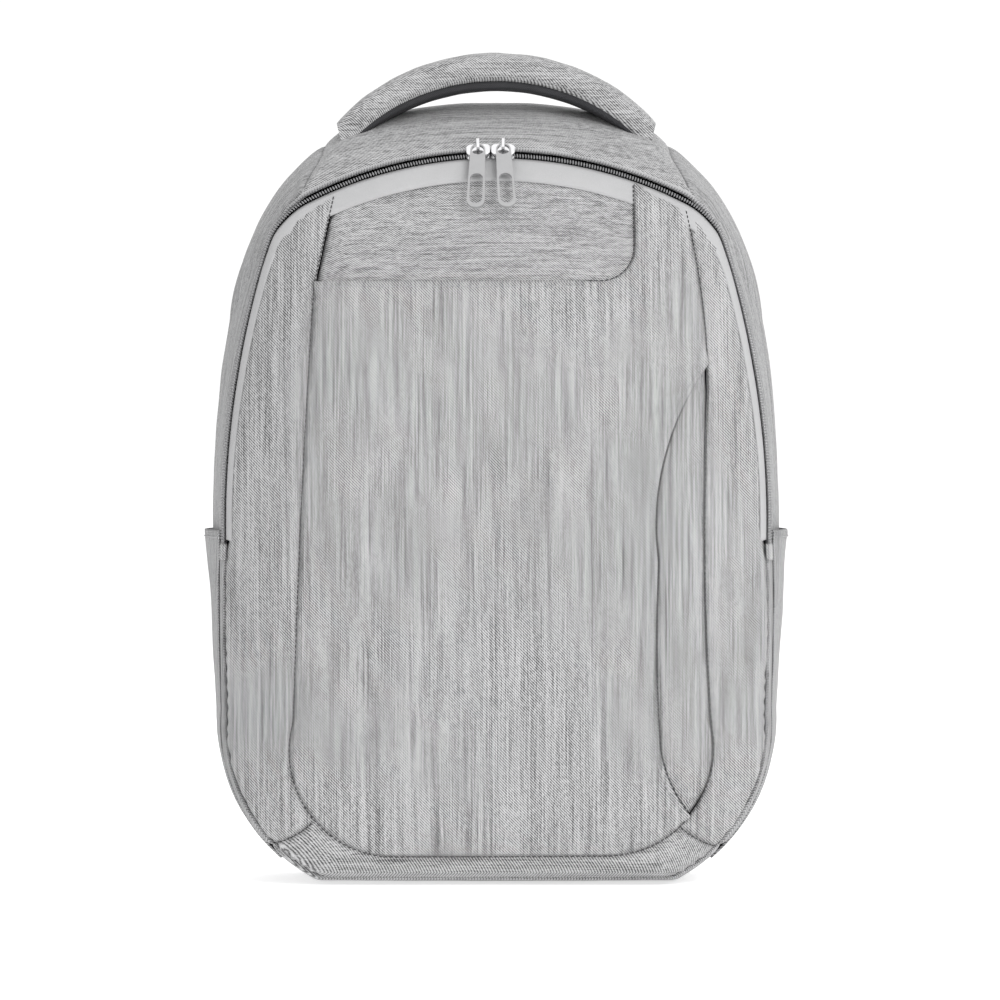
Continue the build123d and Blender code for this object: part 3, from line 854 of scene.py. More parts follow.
    def _measure_front(self) -> None:
        """Samples the front's Y over X and Z by casting rays at the surface."""
        depths = np.linspace(0.6, 8.0, 130)
        around = np.linspace(-1, 5, 220)
        points, faces = [], []
        for side in (1, -1):
            base = len(points)
            grid = self.at(depths[:, None], around[None, :], side).reshape(-1, 3)
            points.extend(map(tuple, grid))
            faces += [tuple(base + i for i in f) for f in grid_faces(len(depths), len(around))]
        tree = BVHTree.FromPolygons(points, faces)
        self.grid_x = np.arange(-160.0, 161.0, 2.0)
        self.grid_z = np.arange(-4.0, 430.0, 2.0)
        rows = []
        for z in self.grid_z:
            hits = [tree.ray_cast(Vector((x, -300, z)), Vector((0, 1, 0)))[0] for x in self.grid_x]
            rows.append([h.y if h is not None else np.nan for h in hits])
        y = np.array(rows)
        for row in y:
            good = ~np.isnan(row)
            if good.sum() > 2:
                row[~good] = np.interp(self.grid_x[~good], self.grid_x[good], row[good])
        good_rows = ~np.isnan(y).any(axis=1)
        for j in range(y.shape[1]):
            y[:, j] = np.interp(self.grid_z, self.grid_z[good_rows], y[good_rows, j])
        for _ in range(2):
            y[1:-1] = (y[:-2] + 2 * y[1:-1] + y[2:]) / 4
            y[:, 1:-1] = (y[:, :-2] + 2 * y[:, 1:-1] + y[:, 2:]) / 4
        self.front_y = y
        self.slope_z, self.slope_x = np.gradient(y, 2.0)

    def _sampled(self, table: Points, x: Points, z: Points) -> Points:
        """Reads a table over X and Z between its samples."""
        u = np.clip((x - self.grid_x[0]) / 2.0, 0, len(self.grid_x) - 1.001)
        w = np.clip((z - self.grid_z[0]) / 2.0, 0, len(self.grid_z) - 1.001)
        i, j = u.astype(int), w.astype(int)
        s, t = u - i, w - j
        return (
            table[j, i] * (1 - s) * (1 - t) + table[j, i + 1] * s * (1 - t)
            + table[j + 1, i] * (1 - s) * t + table[j + 1, i + 1] * s * t
        )

    def front(self, flat: Points, lift: Points | float) -> Points:
        """Points over the front.

        Args:
            flat: X and Z, in rows.
            lift: How far the points stand off the surface.

        Returns:
            X, Y and Z, in rows.
        """
        x, z = flat[:, 0], flat[:, 1]
        y = self._sampled(self.front_y, x, z)
        slopes = [self._sampled(table, x, z) for table in (self.slope_x, self.slope_z)]
        normal = unit(np.column_stack([slopes[0], -np.ones(len(x)), slopes[1]]))
        return np.column_stack([x, y, z]) + normal * np.broadcast_to(lift, x.shape)[:, None]

    def zip_edge(self, ahead: float, top: float = 5.0, low: float = 2.0, step: float = 3.0) -> Points:
        """The line on the surface a given distance ahead of the zip, from the right end over the top."""
        around = np.linspace(low, top, 140)
        right = self.at(self.depth_at(ahead, around), around)
        left = right[::-1] * (-1, 1, 1)
        return resample(np.vstack([right, left[1:]]), step)


# ---------------------------------------------------------------------------------------------
# Repeats


@dataclass
class Repeats:
    """Geometry Nodes that set a small rounded link on each point of a line."""

    tree: bpy.types.NodeTree = field(init=False)
    ids: dict[str, str] = field(init=False)

    def __post_init__(self) -> None:
        """Builds the tree."""
        tree = bpy.data.node_groups.new("links_on_points", "GeometryNodeTree")
        face = tree.interface
        face.new_socket("Geometry", in_out="INPUT", socket_type="NodeSocketGeometry")
        self.ids = {}
        for name in ("Length", "Width", "Height", "Material"):
            kind = "NodeSocketMaterial" if name == "Material" else "NodeSocketFloat"
            self.ids[name] = face.new_socket(name, in_out="INPUT", socket_type=kind).identifier
        face.new_socket("Geometry", in_out="OUTPUT", socket_type="NodeSocketGeometry")

        def add(kind: str, **settings: Any) -> Any:
            made = tree.nodes.new(kind)
            for key, value in settings.items():
                setattr(made, key, value)
            return made

        def link(a: Any, b: Any) -> None:
            tree.links.new(a, b)

        source = add("NodeGroupInput")
        size = add("ShaderNodeCombineXYZ")
        for i, name in enumerate(("Length", "Width", "Height")):
            link(source.outputs[name], size.inputs[i])
        cube = add("GeometryNodeMeshCube")
        link(size.outputs[0], cube.inputs["Size"])
        rounded = add("GeometryNodeSubdivisionSurface")
        rounded.inputs["Level"].default_value = 1
        link(cube.outputs["Mesh"], rounded.inputs["Mesh"])
        along = add("GeometryNodeInputNamedAttribute", data_type="FLOAT_VECTOR")
        along.inputs["Name"].default_value = "along"
        up = add("GeometryNodeInputNamedAttribute", data_type="FLOAT_VECTOR")
        up.inputs["Name"].default_value = "up"
        turn = add("FunctionNodeAxesToRotation", primary_axis="X", secondary_axis="Z")
        link(along.outputs["Attribute"], turn.inputs["Primary Axis"])
        link(up.outputs["Attribute"], turn.inputs["Secondary Axis"])
        place = add("GeometryNodeInstanceOnPoints")
        link(source.outputs["Geometry"], place.inputs["Points"])
        link(rounded.outputs["Mesh"], place.inputs["Instance"])
        link(turn.outputs[0], place.inputs["Rotation"])
        real = add("GeometryNodeRealizeInstances")
        link(place.outputs["Instances"], real.inputs["Geometry"])
        dress = add("GeometryNodeSetMaterial")
        link(real.outputs["Geometry"], dress.inputs["Geometry"])
        link(source.outputs["Material"], dress.inputs["Material"])
        smooth = add("GeometryNodeSetShadeSmooth")
        link(dress.outputs["Geometry"], smooth.inputs["Geometry"])
        output = add("NodeGroupOutput")
        link(smooth.outputs["Geometry"], output.inputs["Geometry"])
        self.tree = tree

    def make(
        self,
        name: str,
        places: Points,
        along: Points,
        up: Points,
        size: Sequence[float],
        material: bpy.types.Material,
    ) -> bpy.types.Object:
        """Sets one link on each place.

        Args:
            name: The piece's name.
            places: The links' centres in millimetres.
            along: The direction of each link's length.
            up: The direction of each link's height.
            size: Length, width and height in millimetres.
            material: The links' material.

        Returns:
            The piece, a plain mesh.
        """
        piece = make_mesh(name, places, [], [])
        for key, rows in (("along", along), ("up", up)):
            stored = piece.data.attributes.new(key, "FLOAT_VECTOR", "POINT")
            stored.data.foreach_set("vector", unit(np.asarray(rows, float)).astype(np.float32).ravel())
        modifier = piece.modifiers.new("links", "NODES")
        modifier.node_group = self.tree
        for key, value in zip(("Length", "Width", "Height"), size):
            modifier[self.ids[key]] = float(value) * MM
        modifier[self.ids["Material"]] = material
        bake_modifiers(piece)
        for key in ("along", "up"):
            if key in piece.data.attributes:
                piece.data.attributes.remove(piece.data.attributes[key])
        if not piece.data.materials:
            piece.data.materials.append(material)
        return piece

    def stitches(
        self, name: str, line: Points, out: Points, material: bpy.types.Material, pitch: float = 3.4
    ) -> bpy.types.Object:
        """Sews a row of stitches along a line in space.

        Args:
            name: The piece's name.
            line: The line's points, with the outward direction beside them in out.
            out: The outward directions.
            material: The thread.
            pitch: The distance between stitches.

        Returns:
            The piece.
        """
        both = resample(np.hstack([line, out * 1e-3]), pitch)
        places, up = both[:, :3], both[:, 3:]
        along = np.gradient(places, axis=0)
        middle = (places[1:] + places[:-1]) / 2
        size = (pitch * 0.95, 0.85, 0.62)
        return self.make(name, middle, (along[1:] + along[:-1]) / 2, up[1:], size, material)


@dataclass
class Workshop:
    """What every sub-assembly builds with."""

    body: Body
    finishes: Finishes
    repeats: Repeats

    def front_stitches(
        self, name: str, flat: Points, lift: float, thread: bpy.types.Material, pitch: float = 3.4
    ) -> bpy.types.Object:
        """A row of stitches over the front, given in X and Z."""
        near = self.body.front(flat, lift)
        far = self.body.front(flat, lift + 1.0)
        return self.repeats.stitches(name, near, far - near, thread, pitch)


def reported(piece: bpy.types.Object) -> bpy.types.Object:
    """Logs the piece's vertex count.

    Args:
        piece: The finished piece.

    Returns:
        The same piece.
    """
    LOG.info("%s: %d vertices", piece.name, len(piece.data.vertices))
    return piece


# ---------------------------------------------------------------------------------------------
# The front


def turned_out(points: Points, faces: Faces, centre: Sequence[float]) -> Faces:
    """Turns the faces so that they point away from a centre.

    Args:
        points: The vertices.
        faces: The faces, all wound the same way.
        centre: The point to face away from.

    Returns:
        The faces, turned if they faced the centre.
    """
    sample = faces[:: max(1, len(faces) // 200)]
    total = 0.0
    for face in sample:
        a, b, c = (points[i] for i in face[:3])
        total += float(np.cross(b - a, c - b) @ (a - np.asarray(centre)))
    return faces if total > 0 else [f[::-1] for f in faces]


@dataclass
class Seams:
    """The front's seam lines, as X and Z seen from the front."""

    top: float = 400.0
    edge_z: float = 320.0
    edge_x: float = 74.0
    edge_radius: float = 18.0
    underlap: float = 6.0
    main: Points = field(init=False)
    inset: Points = field(init=False)
    crescent: Points = field(init=False)
    crescent_edge: Points = field(init=False)
    pocket_edge: Points = field(init=False)
    bottom: Points = field(init=False)

    def __post_init__(self) -> None:
        """Works out the outlines."""
        arcs = (
            ((-96.5, 320), (-101.8, 225), (-107.2, 88)), ((-107.2, 88), (-95.5, 34.5), (-58, 15.3)),
            ((60, 15.8), (99, 33.5), (113.8, 86)), ((113.8, 86), (110.4, 175), (112.5, 262)),
            ((112.5, 262), (110.2, 305), (102.4, 354)),
        )
        line: Outline = [(-80, self.top)]
        for arc in arcs:
            line += arc_through(*arc, 24)
        line.append((93, self.top))
        self.main = resample([*line, line[0]], 3.5)[:-1]
        x, z, radius = self.edge_x, self.edge_z, self.edge_radius
        centre = (x - radius, z + radius)
        turns = np.linspace(-math.pi / 2, 0, 12)
        corner = [(centre[0] + radius * math.cos(t), centre[1] + radius * math.sin(t)) for t in turns]
        self.pocket_edge = resample([(-140, z), *corner, (x, self.top + 20)], 3.0)
        self.inset = np.vstack([self.pocket_edge, [(-140, self.top + 20)]])
        edge = arc_through((120, 286), (93.5, 243), (85.2, 172), 34)
        edge += arc_through((85.2, 172), (84.2, 121), (86, 74), 24)[1:]
        edge += arc_through((86, 74), (93, 52), (110, 30), 18)[1:]
        self.crescent_edge = resample(edge, 3.0)
        self.crescent = np.vstack([self.crescent_edge, [(160, 30), (160, 286)]])
        left = [(-200, 20), *arc_through((-125, 20.5), (-110, 25), (-96.8, 34.5), 12)]
        right = [*arc_through((97.5, 31.5), (110, 23), (125, 18), 12), (200, 18)]
        self.bottom = np.array([*left, (-60, 60), (60, 60), *right])

    def over_bottom(self, flat: Points) -> Points:
        """Tells which points are above the bottom panel's seam."""
        return flat[:, 1] > np.interp(flat[:, 0], self.bottom[:, 0], self.bottom[:, 1])


@dataclass
class Front:
    """The front pocket, its backing, the crescent, the strips and the bottom's turned-up edge."""

    shop: Workshop
    seams: Seams
    grid: float = 3.6
    tape_edge: float = 9.0
    fabric: float = 1.3
    seam_dip: float = 1.5
    seam_reach: float = 2.4
    fold_start: tuple[float, float, float] = (0.0, -0.062, 0.157)
    fold_end: tuple[float, float, float] = (0.0, -0.062, 0.205)
    outline: Points = field(init=False)

    def __post_init__(self) -> None:
        """Works out where the front ends, at the zip's tape and at the side seams."""
        around = np.linspace(0.0, 5.0, 260)
        middle = self.shop.body.at(self.shop.body.depth_at(0.0, around), around)
        height = middle[:, 2]
        ahead = (self.tape_edge - 6.0 * smoothstep(325, 384, height)) * smoothstep(176, 186, height)
        ahead = ahead + np.sin(around * 37.0) * 0.22 * (ahead > 4)
        depths = np.linspace(1.0, 6.0, 251)
        grid = self.shop.body.at(depths[:, None], around[None, :])
        gap = self.shop.body.ahead_of_zip(grid)
        depth = np.array([np.interp(a, gap[:, j], depths) for j, a in enumerate(ahead)])
        self.edge_round, self.edge_depth = around, depth
        right = self.shop.body.at(depth, around)[:, [0, 2]]
        left = right[::-1] * (-1, 1)
        self.outline = resample(np.vstack([right, left[1:]]), 3.2)

    def cloth(
        self,
        name: str,
        keep: Callable[[Points], Points],
        lines: Sequence[Points],
        depth: float | Callable[[Points], Points],
        materials: Sequence[bpy.types.Material],
        seed: float,
        puff: float = 0.7,
        thickness: float | None = None,
        free_edges: Sequence[Points] = (),
    ) -> bpy.types.Object:
        """Cuts one panel out of the front and sews its edges down.

        Args:
            name: The piece's name.
            keep: Tells which points of X and Z belong to the panel.
            lines: The seam lines that may bound it.
            depth: How far under the surface it lies, as a number or worked out from X and Z.
            materials: The outer cloth and the lining.
            seed: The wrinkles' seed.
            puff: How far the middle stands proud.
            thickness: The cloth's thickness.
            free_edges: Lines that are hemmed and not sewn down, as X and Z.

        Returns:
            The panel.
        """
        body = self.shop.body
        bounds = [self.outline, *lines]
        corners: list[Vector] = []
        edges: list[tuple[int, int]] = []
        for line in bounds:
            base = len(corners)
            corners += [Vector(p) for p in line]
            edges += [(base + i, base + i + 1) for i in range(len(line) - 1)]
        xs = np.arange(-156, 157, self.grid)
        zs = np.arange(0, 402, self.grid)
        for j, z in enumerate(zs):
            row = np.column_stack([xs + (j % 2) * self.grid / 2, np.full(len(xs), z)])
            near = np.min([distance_to_line(row, line) for line in bounds], axis=0)
            fit = keep(row) & inside(row, self.outline) & (near > self.grid * 0.45)
            corners += [Vector(p) for p in row[fit]]
        made = delaunay_2d_cdt(corners, edges, [], 0, 1e-4)
        flat = np.array([tuple(v) for v in made[0]])
        faces = [f for f in made[2] if len(f) == 3]
        centres = np.array([flat[list(f)].mean(axis=0) for f in faces])
        good = keep(centres) & inside(centres, self.outline)
        faces = [tuple(f) for f, ok in zip(faces, good) if ok]
        used = sorted({i for f in faces for i in f})
        order = {old: new for new, old in enumerate(used)}
        flat = flat[used]
        faces = [tuple(order[i] for i in f) for f in faces]
        turned = []
        for f in faces:
            a, b, c = flat[list(f)]
            area = (b[0] - a[0]) * (c[1] - a[1]) - (b[1] - a[1]) * (c[0] - a[0])
            turned.append(f if area > 0 else f[::-1])
        count: dict[tuple[int, int], int] = {}
        for f in turned:
            for a, b in zip(f, f[1:] + f[:1]):
                key = (min(a, b), max(a, b))
                count[key] = count.get(key, 0) + 1
        rim = sorted({i for key, n in count.items() if n == 1 for i in key})
        reach = np.full(len(flat), np.inf)
        for i in rim:
            reach = np.minimum(reach, np.linalg.norm(flat - flat[i], axis=1))
        lift = puff * (1 - np.exp(-reach / 14)) - self.seam_dip * np.exp(-reach / self.seam_reach)
        if free_edges:
            gap = np.min([distance_to_line(flat, line) for line in free_edges], axis=0)
            lift += (self.seam_dip + 0.35) * np.exp(-gap / self.seam_reach)
            lift += 0.55 * np.exp(-(((gap - 2.4) / 2.2) ** 2))
        space = np.column_stack([flat[:, 0], np.zeros(len(flat)), flat[:, 1]])
        pucker = sway(space * (0.5, 1, 1), 7.0, seed + 9) * 0.6 * np.exp(-reach / 9)
        swell = sway(space, 62.0, seed) * 1.2 * (1 - np.exp(-reach / 20))
        lift += swell + pucker * (1 - np.exp(-reach / 1.5))
        sunk = depth(flat) if callable(depth) else np.full(len(flat), float(depth))
        piece = make_mesh(name, body.front(flat, lift - sunk), turned, materials)
        thicken(piece, thickness or self.fabric, inner_slot=len(materials) - 1)
        return bake_modifiers(piece)

    def hinged(self, piece: bpy.types.Object, slot: str, *nodes: str) -> None:
        """Logs a piece, bakes its transform into its mesh and lets it stand for its nodes."""
        reported(piece)
        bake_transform(piece)
        if nodes:
            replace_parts(piece, *nodes)

    def split_nodes(self, stem: str) -> list[str]:
        """The three nodes that a front panel was cut into."""
        return [f"{stem}_{part}" for part in ("lower", "fold", "upper")]

    def build(self) -> None:
        """Makes every front panel."""
        seams, finishes = self.seams, self.shop.finishes
        main, inset, crescent = seams.main, seams.inset, seams.crescent
        closed = np.vstack([main, main[:1]])

        def in_panel(p: Points) -> Points:
            return inside(p, main) & ~inside(p, inset) & ~inside(p, crescent)

        def in_crescent(p: Points) -> Points:
            return inside(p, main) & inside(p + (seams.underlap, 0), crescent)

        def backing_depth(p: Points) -> Points:
            pocket = 6.2 * (1 - smoothstep(296, 330, p[:, 1]))
            shut = distance_to_line(p, closed)
            held = smoothstep(1.0, 26.0, shut)
            return 1.9 + pocket * held

        panel = self.cloth(
            "pocket_front_cloth", in_panel, [closed, seams.pocket_edge, seams.crescent_edge], 0.0,
            [finishes.upright, finishes.lining], 3.1, 1.0,
            free_edges=(seams.pocket_edge, seams.crescent_edge),
        )
        self.hinged(panel, "face_fabric", *self.split_nodes("front_pocket_panel"))
        under = seams.crescent_edge - (seams.underlap, 0)
        slash = self.cloth(
            "slash_pocket_cloth", in_crescent, [closed, under],
            lambda p: 0.2 + 2.9 * np.exp(-distance_to_line(p, seams.crescent_edge) / 11),
            [finishes.upright, finishes.lining], 7.7, 0.5,
        )
        self.hinged(slash, "face_fabric", *self.split_nodes("slash_pocket_panel"))
        backing = self.cloth(
            "pocket_backing_cloth", lambda p: inside(p, main), [closed], backing_depth,
            [finishes.level, finishes.lining], 5.3, 0.3,
        )
        self.hinged(backing, "cross_fabric", *self.split_nodes("front_pocket_backing"))
        for side in Side:
            sign = side.value
            strip = self.cloth(
                f"front_strip_cloth_{side.word}",
                lambda p: ~inside(p, main) & (p[:, 0] * sign > 0) & seams.over_bottom(p),
                [closed, seams.bottom], 0.0, [finishes.upright, finishes.lining], 11.0 + sign, 0.4,
            )
            self.hinged(strip, "face_fabric", *self.split_nodes(f"front_strip_{side.word}"))
        lip = self.cloth(
            "bottom_front_cloth", lambda p: ~inside(p, main) & ~seams.over_bottom(p) & (p[:, 1] < 60),
            [closed, seams.bottom], 0.0, [finishes.level, finishes.lining], 2.2, 0.3,
        )
        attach(reported(lip), "pack_body")
        self.sew()

    def sew(self) -> None:
        """Adds the visible rows of stitches, and dark rows of links that are painted shadow under the
        pocket's edges.
        """
        seams, shop = self.seams, self.shop
        edge = seams.pocket_edge
        edge = edge[inside(edge, seams.main) & inside(edge, self.outline)]
        lower = edge[edge[:, 0] < 54] - (0, 3.0)
        crescent = seams.crescent_edge[inside(seams.crescent_edge, seams.main)]
        finishes = shop.finishes
        rows = {
            "pocket_edge_stitches": (lower, 1.0, finishes.thread),
            "crescent_stitches": (crescent - (2.6, 0), 1.0, finishes.thread),
            # The main seam row is real stitches whose near-black colour also paints the shade in the seam's
            # valley.
            "main_seam_thread": (np.vstack([seams.main, seams.main[:1]]), -0.6, finishes.seam),
            # These two rows are painted shadow: dark links set just under the pocket's edge and the
            # crescent's edge.
            "pocket_edge_shadow": (edge[edge[:, 0] > 48] + (-0.8, 0.8), -0.7, finishes.seam),
            "crescent_shadow": (crescent + (0.8, 0), -1.5, finishes.seam),
            # The bottom seam row is real stitches whose near-black colour also paints the shade in the
            # seam's valley.
            "bottom_seam_thread": (seams.bottom, -0.6, finishes.seam),
        }
        for name, (line, lift, thread) in rows.items():
            line = resample(line, 2.0)
            shown = inside(line, self.outline)
            if name == "bottom_seam_thread":
                shown &= ~inside(line, seams.main)
            breaks = np.flatnonzero(np.diff(shown.astype(int))) + 1
            for number, run in enumerate(np.split(np.arange(len(line)), breaks)):
                if shown[run[0]] and len(run) > 4:
                    row = shop.front_stitches(f"{name}_{number}", line[run], lift, thread, 2.9)
                    self.hinged(row, "binding")


# ---------------------------------------------------------------------------------------------
# The shell behind the zip


@dataclass
class Shell:
    """The gussets, the bottom, the back panel and its piping."""

    shop: Workshop
    front: Front
    tape_rear: float = 6.0
    handle_round: float = 3.87
    seam_z: float = 20.5
    seam_dip: float = 1.4

    def __post_init__(self) -> None:
        """Works out where the gussets end at the zip."""
        body = self.shop.body
        around = np.linspace(-1.0, 5.0, 300)
        middle = body.at(body.depth_at(0.0, around), around)
        height = middle[:, 2]
        behind = -(self.tape_rear - 2.2 * smoothstep(325, 384, height)) * smoothstep(176, 186, height)
        depths = np.linspace(1.0, 6.0, 251)
        gap = body.ahead_of_zip(body.at(depths[:, None], around[None, :]))
        self.rim_round = around
        self.rim_depth = np.array([np.interp(a, gap[:, j], depths) for j, a in enumerate(behind)])
        rows = np.linspace(0, 4, 80)
        low = np.linspace(0.0, 1.0, 120)
        heights = body.at(rows[:, None], low[None, :])[..., 2]
        self.seam_rows = rows
        self.seam_round = np.array([np.interp(self.seam_z, h, low) for h in heights])

    def rim(self, around: Points) -> Points:
        """The depth where the cloth ends at the zip."""
        return np.interp(around, self.rim_round, self.rim_depth)

    def skin(
        self,
        name: str,
        side: int,
        low: Callable[[Points], Points],
        high: Callable[[Points], Points],
        counts: tuple[int, int],
        material: bpy.types.Material,
        seed: float,
        sizes: tuple[float, float],
        lift: float = 0.0,
        both: bool = False,
    ) -> bpy.types.Object:
        """Lays one panel over the body behind the zip.

        Args:
            name: The piece's name.
            side: 1 for the right half, -1 for the left.
            low: The place round the outline where it starts, from the depth's share.
            high: The place where it ends.
            counts: Vertices along the depth and round the outline.
            material: The outer cloth.
            seed: The wrinkles' seed.
            sizes: The panel's size along the depth and round the outline, in millimetres.
            lift: How far it stands off the surface.
            both: Whether the other half is laid too, joined at the middle.

        Returns:
            The panel.
        """
        body = self.shop.body
        ease = np.linspace(0, 1, counts[0])
        s = (0.35 * ease + 0.65 * (0.5 - 0.5 * np.cos(math.pi * ease)))[:, None]
        ease = np.linspace(0, 1, counts[1])
        t = (0.55 * ease + 0.45 * (0.5 - 0.5 * np.cos(math.pi * ease)))[None, :]
        p = low(s) + (high(s) - low(s)) * t
        d = self.rim(p) * s
        points = body.at(d, p, side)
        normal = body.normals(np.clip(d, 0.02, 7.5), np.clip(p, -0.97, 4.97), side)
        away = points - np.array([0.0, -5.0, 190.0])
        normal *= np.where((normal * away).sum(axis=-1, keepdims=True) < 0, -1.0, 1.0)
        side_share = t if both else np.minimum(t, 1 - t)
        reach = np.minimum(np.minimum(s, 1 - s) * sizes[0], side_share * sizes[1])
        rise = lift + 0.5 * (1 - np.exp(-reach / 12)) - self.seam_dip * np.exp(-reach / 2.4)
        flat = points.reshape(-1, 3)
        waves = sway(flat, 58.0, seed) * 1.3 + sway(flat, 17.0, seed + 4) * 0.35
        rise = rise + (waves.reshape(rise.shape)) * (1 - np.exp(-reach / 16))
        points = points + normal * rise[..., None]
        if both:
            other = points[:, -2::-1] * (-1, 1, 1)
            points = np.concatenate([points, other], axis=1)
        rows, columns = points.shape[:2]
        flat = points.reshape(-1, 3)
        faces = turned_out(flat, grid_faces(rows, columns), (0, -5, 190))
        piece = make_mesh(name, flat, faces, [material, self.shop.finishes.lining])
        thicken(piece, 2.4, inner_slot=1)
        return bake_modifiers(piece)

    def build(self) -> None:
        """Makes the gussets, the bottom and the back."""
        finishes = self.shop.finishes
        top = self.skin(
            "top_gusset_cloth", 1, lambda s: np.full_like(s, self.handle_round),
            lambda s: np.full_like(s, 5.0), (46, 40), finishes.level, 1.9, (100, 90), both=True,
        )
        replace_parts(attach(reported(top), "pack_body"), "top_gusset")
        for side in Side:
            piece = self.skin(
                f"side_gusset_cloth_{side.word}", side.value,
                lambda s: np.interp(s * 3, self.seam_rows, self.seam_round),
                lambda s: np.full_like(s, self.handle_round), (46, 130), finishes.flank,
                6.0 + side.value, (105, 420),
            )
            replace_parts(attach(reported(piece), "pack_body"), f"side_gusset_{side.word}")
        bottom = self.skin(
            "bottom_cloth", 1, lambda s: np.interp(s * 3, self.seam_rows, self.seam_round),
            lambda s: np.full_like(s, -1.0), (40, 50), finishes.level, 8.8, (110, 130), lift=-0.6, both=True,
        )
        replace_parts(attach(reported(bottom), "pack_body"), "bottom_panel")
        self.build_back()

    def build_back(self) -> None:
        """Makes the flat back panel and the piping round it."""
        body, finishes = self.shop.body, self.shop.finishes
        around = np.linspace(-1, 5, 120)
        half = body.at(np.zeros(len(around)), around)
        ring = np.vstack([half, half[-2:0:-1] * (-1, 1, 1)])
        centre = np.array([0.0, 55.0, 205.0])
        shares = (1.0, 0.97, 0.9, 0.75, 0.5, 0.25, 0.04)
        points = np.vstack([centre + (ring - centre) * k for k in shares])
        reach = np.repeat(1 - np.array(shares), len(ring)) * 120
        points[:, 1] += -0.8 * np.exp(-reach / 3) + sway(points, 45.0, 2.0) * 0.5 * (reach > 2)
        faces = grid_faces(len(shares), len(ring), close_columns=True)
        last = (len(shares) - 1) * len(ring)
        faces.append(tuple(range(last, last + len(ring))))
        faces = turned_out(points, faces, (0, -200, 205))
        piece = make_mesh("back_cloth", points, faces, [finishes.back, finishes.lining])
        bake_modifiers(thicken(piece, 2.4, inner_slot=1))
        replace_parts(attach(reported(piece), "pack_body"), "back_panel")
        piping = piped_ring("back_piping", ring + (0, 0.3, 0), 1.7, finishes.binding)
        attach(reported(piping), "pack_body")


def piped_ring(name: str, line: Points, radius: float, material: bpy.types.Material) -> bpy.types.Object:
    """Sweeps a round section along a ring.

    Args:
        name: The piece's name.
        line: The ring's centreline, without a double at its end.
        radius: The section's radius in millimetres.
        material: The finish.

    Returns:
        A closed mesh.
    """
    rows = np.vstack([line[-1:], line, line[:1]])
    tangent = unit(np.gradient(rows, axis=0))[1:-1]
    guide = np.array([0.0, 1.0, 0.0])
    across = unit(np.cross(tangent, guide))
    up = unit(np.cross(across, tangent))
    sides = 10
    angles = np.linspace(0, math.tau, sides, endpoint=False)
    flank = np.cos(angles)[None, :, None] * across[:, None, :]
    ring = radius * (flank + np.sin(angles)[None, :, None] * up[:, None, :])
    points = (line[:, None, :] + ring).reshape(-1, 3)
    count = len(line)
    faces = grid_faces(count, sides, close_columns=True)
    base = (count - 1) * sides
    faces += [(base + j, base + (j + 1) % sides, (j + 1) % sides, j) for j in range(sides)]
    return recalculate(make_mesh(name, points, faces, [material]))


def ribbon(
    name: str, line: Points, across: Points, width: float, thickness: float, material: bpy.types.Material
) -> bpy.types.Object:
    """Sweeps a flat band with rounded selvedges along a line.

    Args:
        name: The piece's name.
        line: The centreline.
        across: The width's direction, one row or one for each point.
        width: The band's width.
        thickness: Its thickness.
        material: The finish.

    Returns:
        A closed mesh.
    """
    tangent = unit(np.gradient(line, axis=0))
    across = unit(np.broadcast_to(np.asarray(across, float), line.shape))
    up = unit(np.cross(tangent, across))
    h, w = thickness / 2, width / 2
    ribs = np.linspace(-1, 1, 13)
    top = [(r * (w - h * 0.6), h * (1.0 if i % 2 else 0.86)) for i, r in enumerate(ribs)]
    selvedge = h * 0.45
    under = [(x, -y) for x, y in top[::-1]]
    section = [*top, (w, selvedge), (w, -selvedge), *under, (-w, -selvedge), (-w, selvedge)]
    u = np.array([p[0] for p in section])[None, :, None]
    v = np.array([p[1] for p in section])[None, :, None]
    points = (line[:, None, :] + across[:, None, :] * u + up[:, None, :] * v).reshape(-1, 3)
    n = len(section)
    faces = grid_faces(len(line), n, close_columns=True)
    faces += [tuple(range(n)), tuple(range((len(line) - 1) * n, len(line) * n))]
    return part_caps(recalculate(make_mesh(name, points, faces, [material])))


def eased_copy(
    name: str, node: bpy.types.Object, width: float, material: bpy.types.Material, angle: float = 35.0
) -> bpy.types.Object:
    """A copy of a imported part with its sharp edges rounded.

    Args:
        name: The piece's name.
        node: The part's node.
        width: The rounding's width in millimetres.
        material: The finish.
        angle: The least angle in degrees between faces that is rounded.

    Returns:
        The piece.
    """
    mesh = node.data.copy()
    mesh.name = name
    mesh.materials.clear()
    mesh.materials.append(material)
    piece = bpy.data.objects.new(name, mesh)
    bpy.context.scene.collection.objects.link(piece)
    if mesh.has_custom_normals:
        mesh.attributes.remove(mesh.attributes["custom_normal"])
    shape = bmesh.new()
    shape.from_mesh(mesh)
    bmesh.ops.remove_doubles(shape, verts=shape.verts, dist=1e-6)
    bmesh.ops.dissolve_limit(shape, angle_limit=math.radians(1.0), verts=shape.verts, edges=shape.edges)
    shape.to_mesh(mesh)
    shape.free()
    for polygon in mesh.polygons:
        polygon.material_index = 0
        polygon.use_smooth = True
    bevel = piece.modifiers.new("ease", "BEVEL")
    bevel.width = width * MM
    bevel.segments = 2
    bevel.limit_method = "ANGLE"
    bevel.angle_limit = math.radians(angle)
    bevel.use_clamp_overlap = True
    bevel.harden_normals = True
    return bake_modifiers(piece)


# ---------------------------------------------------------------------------------------------
# The zip


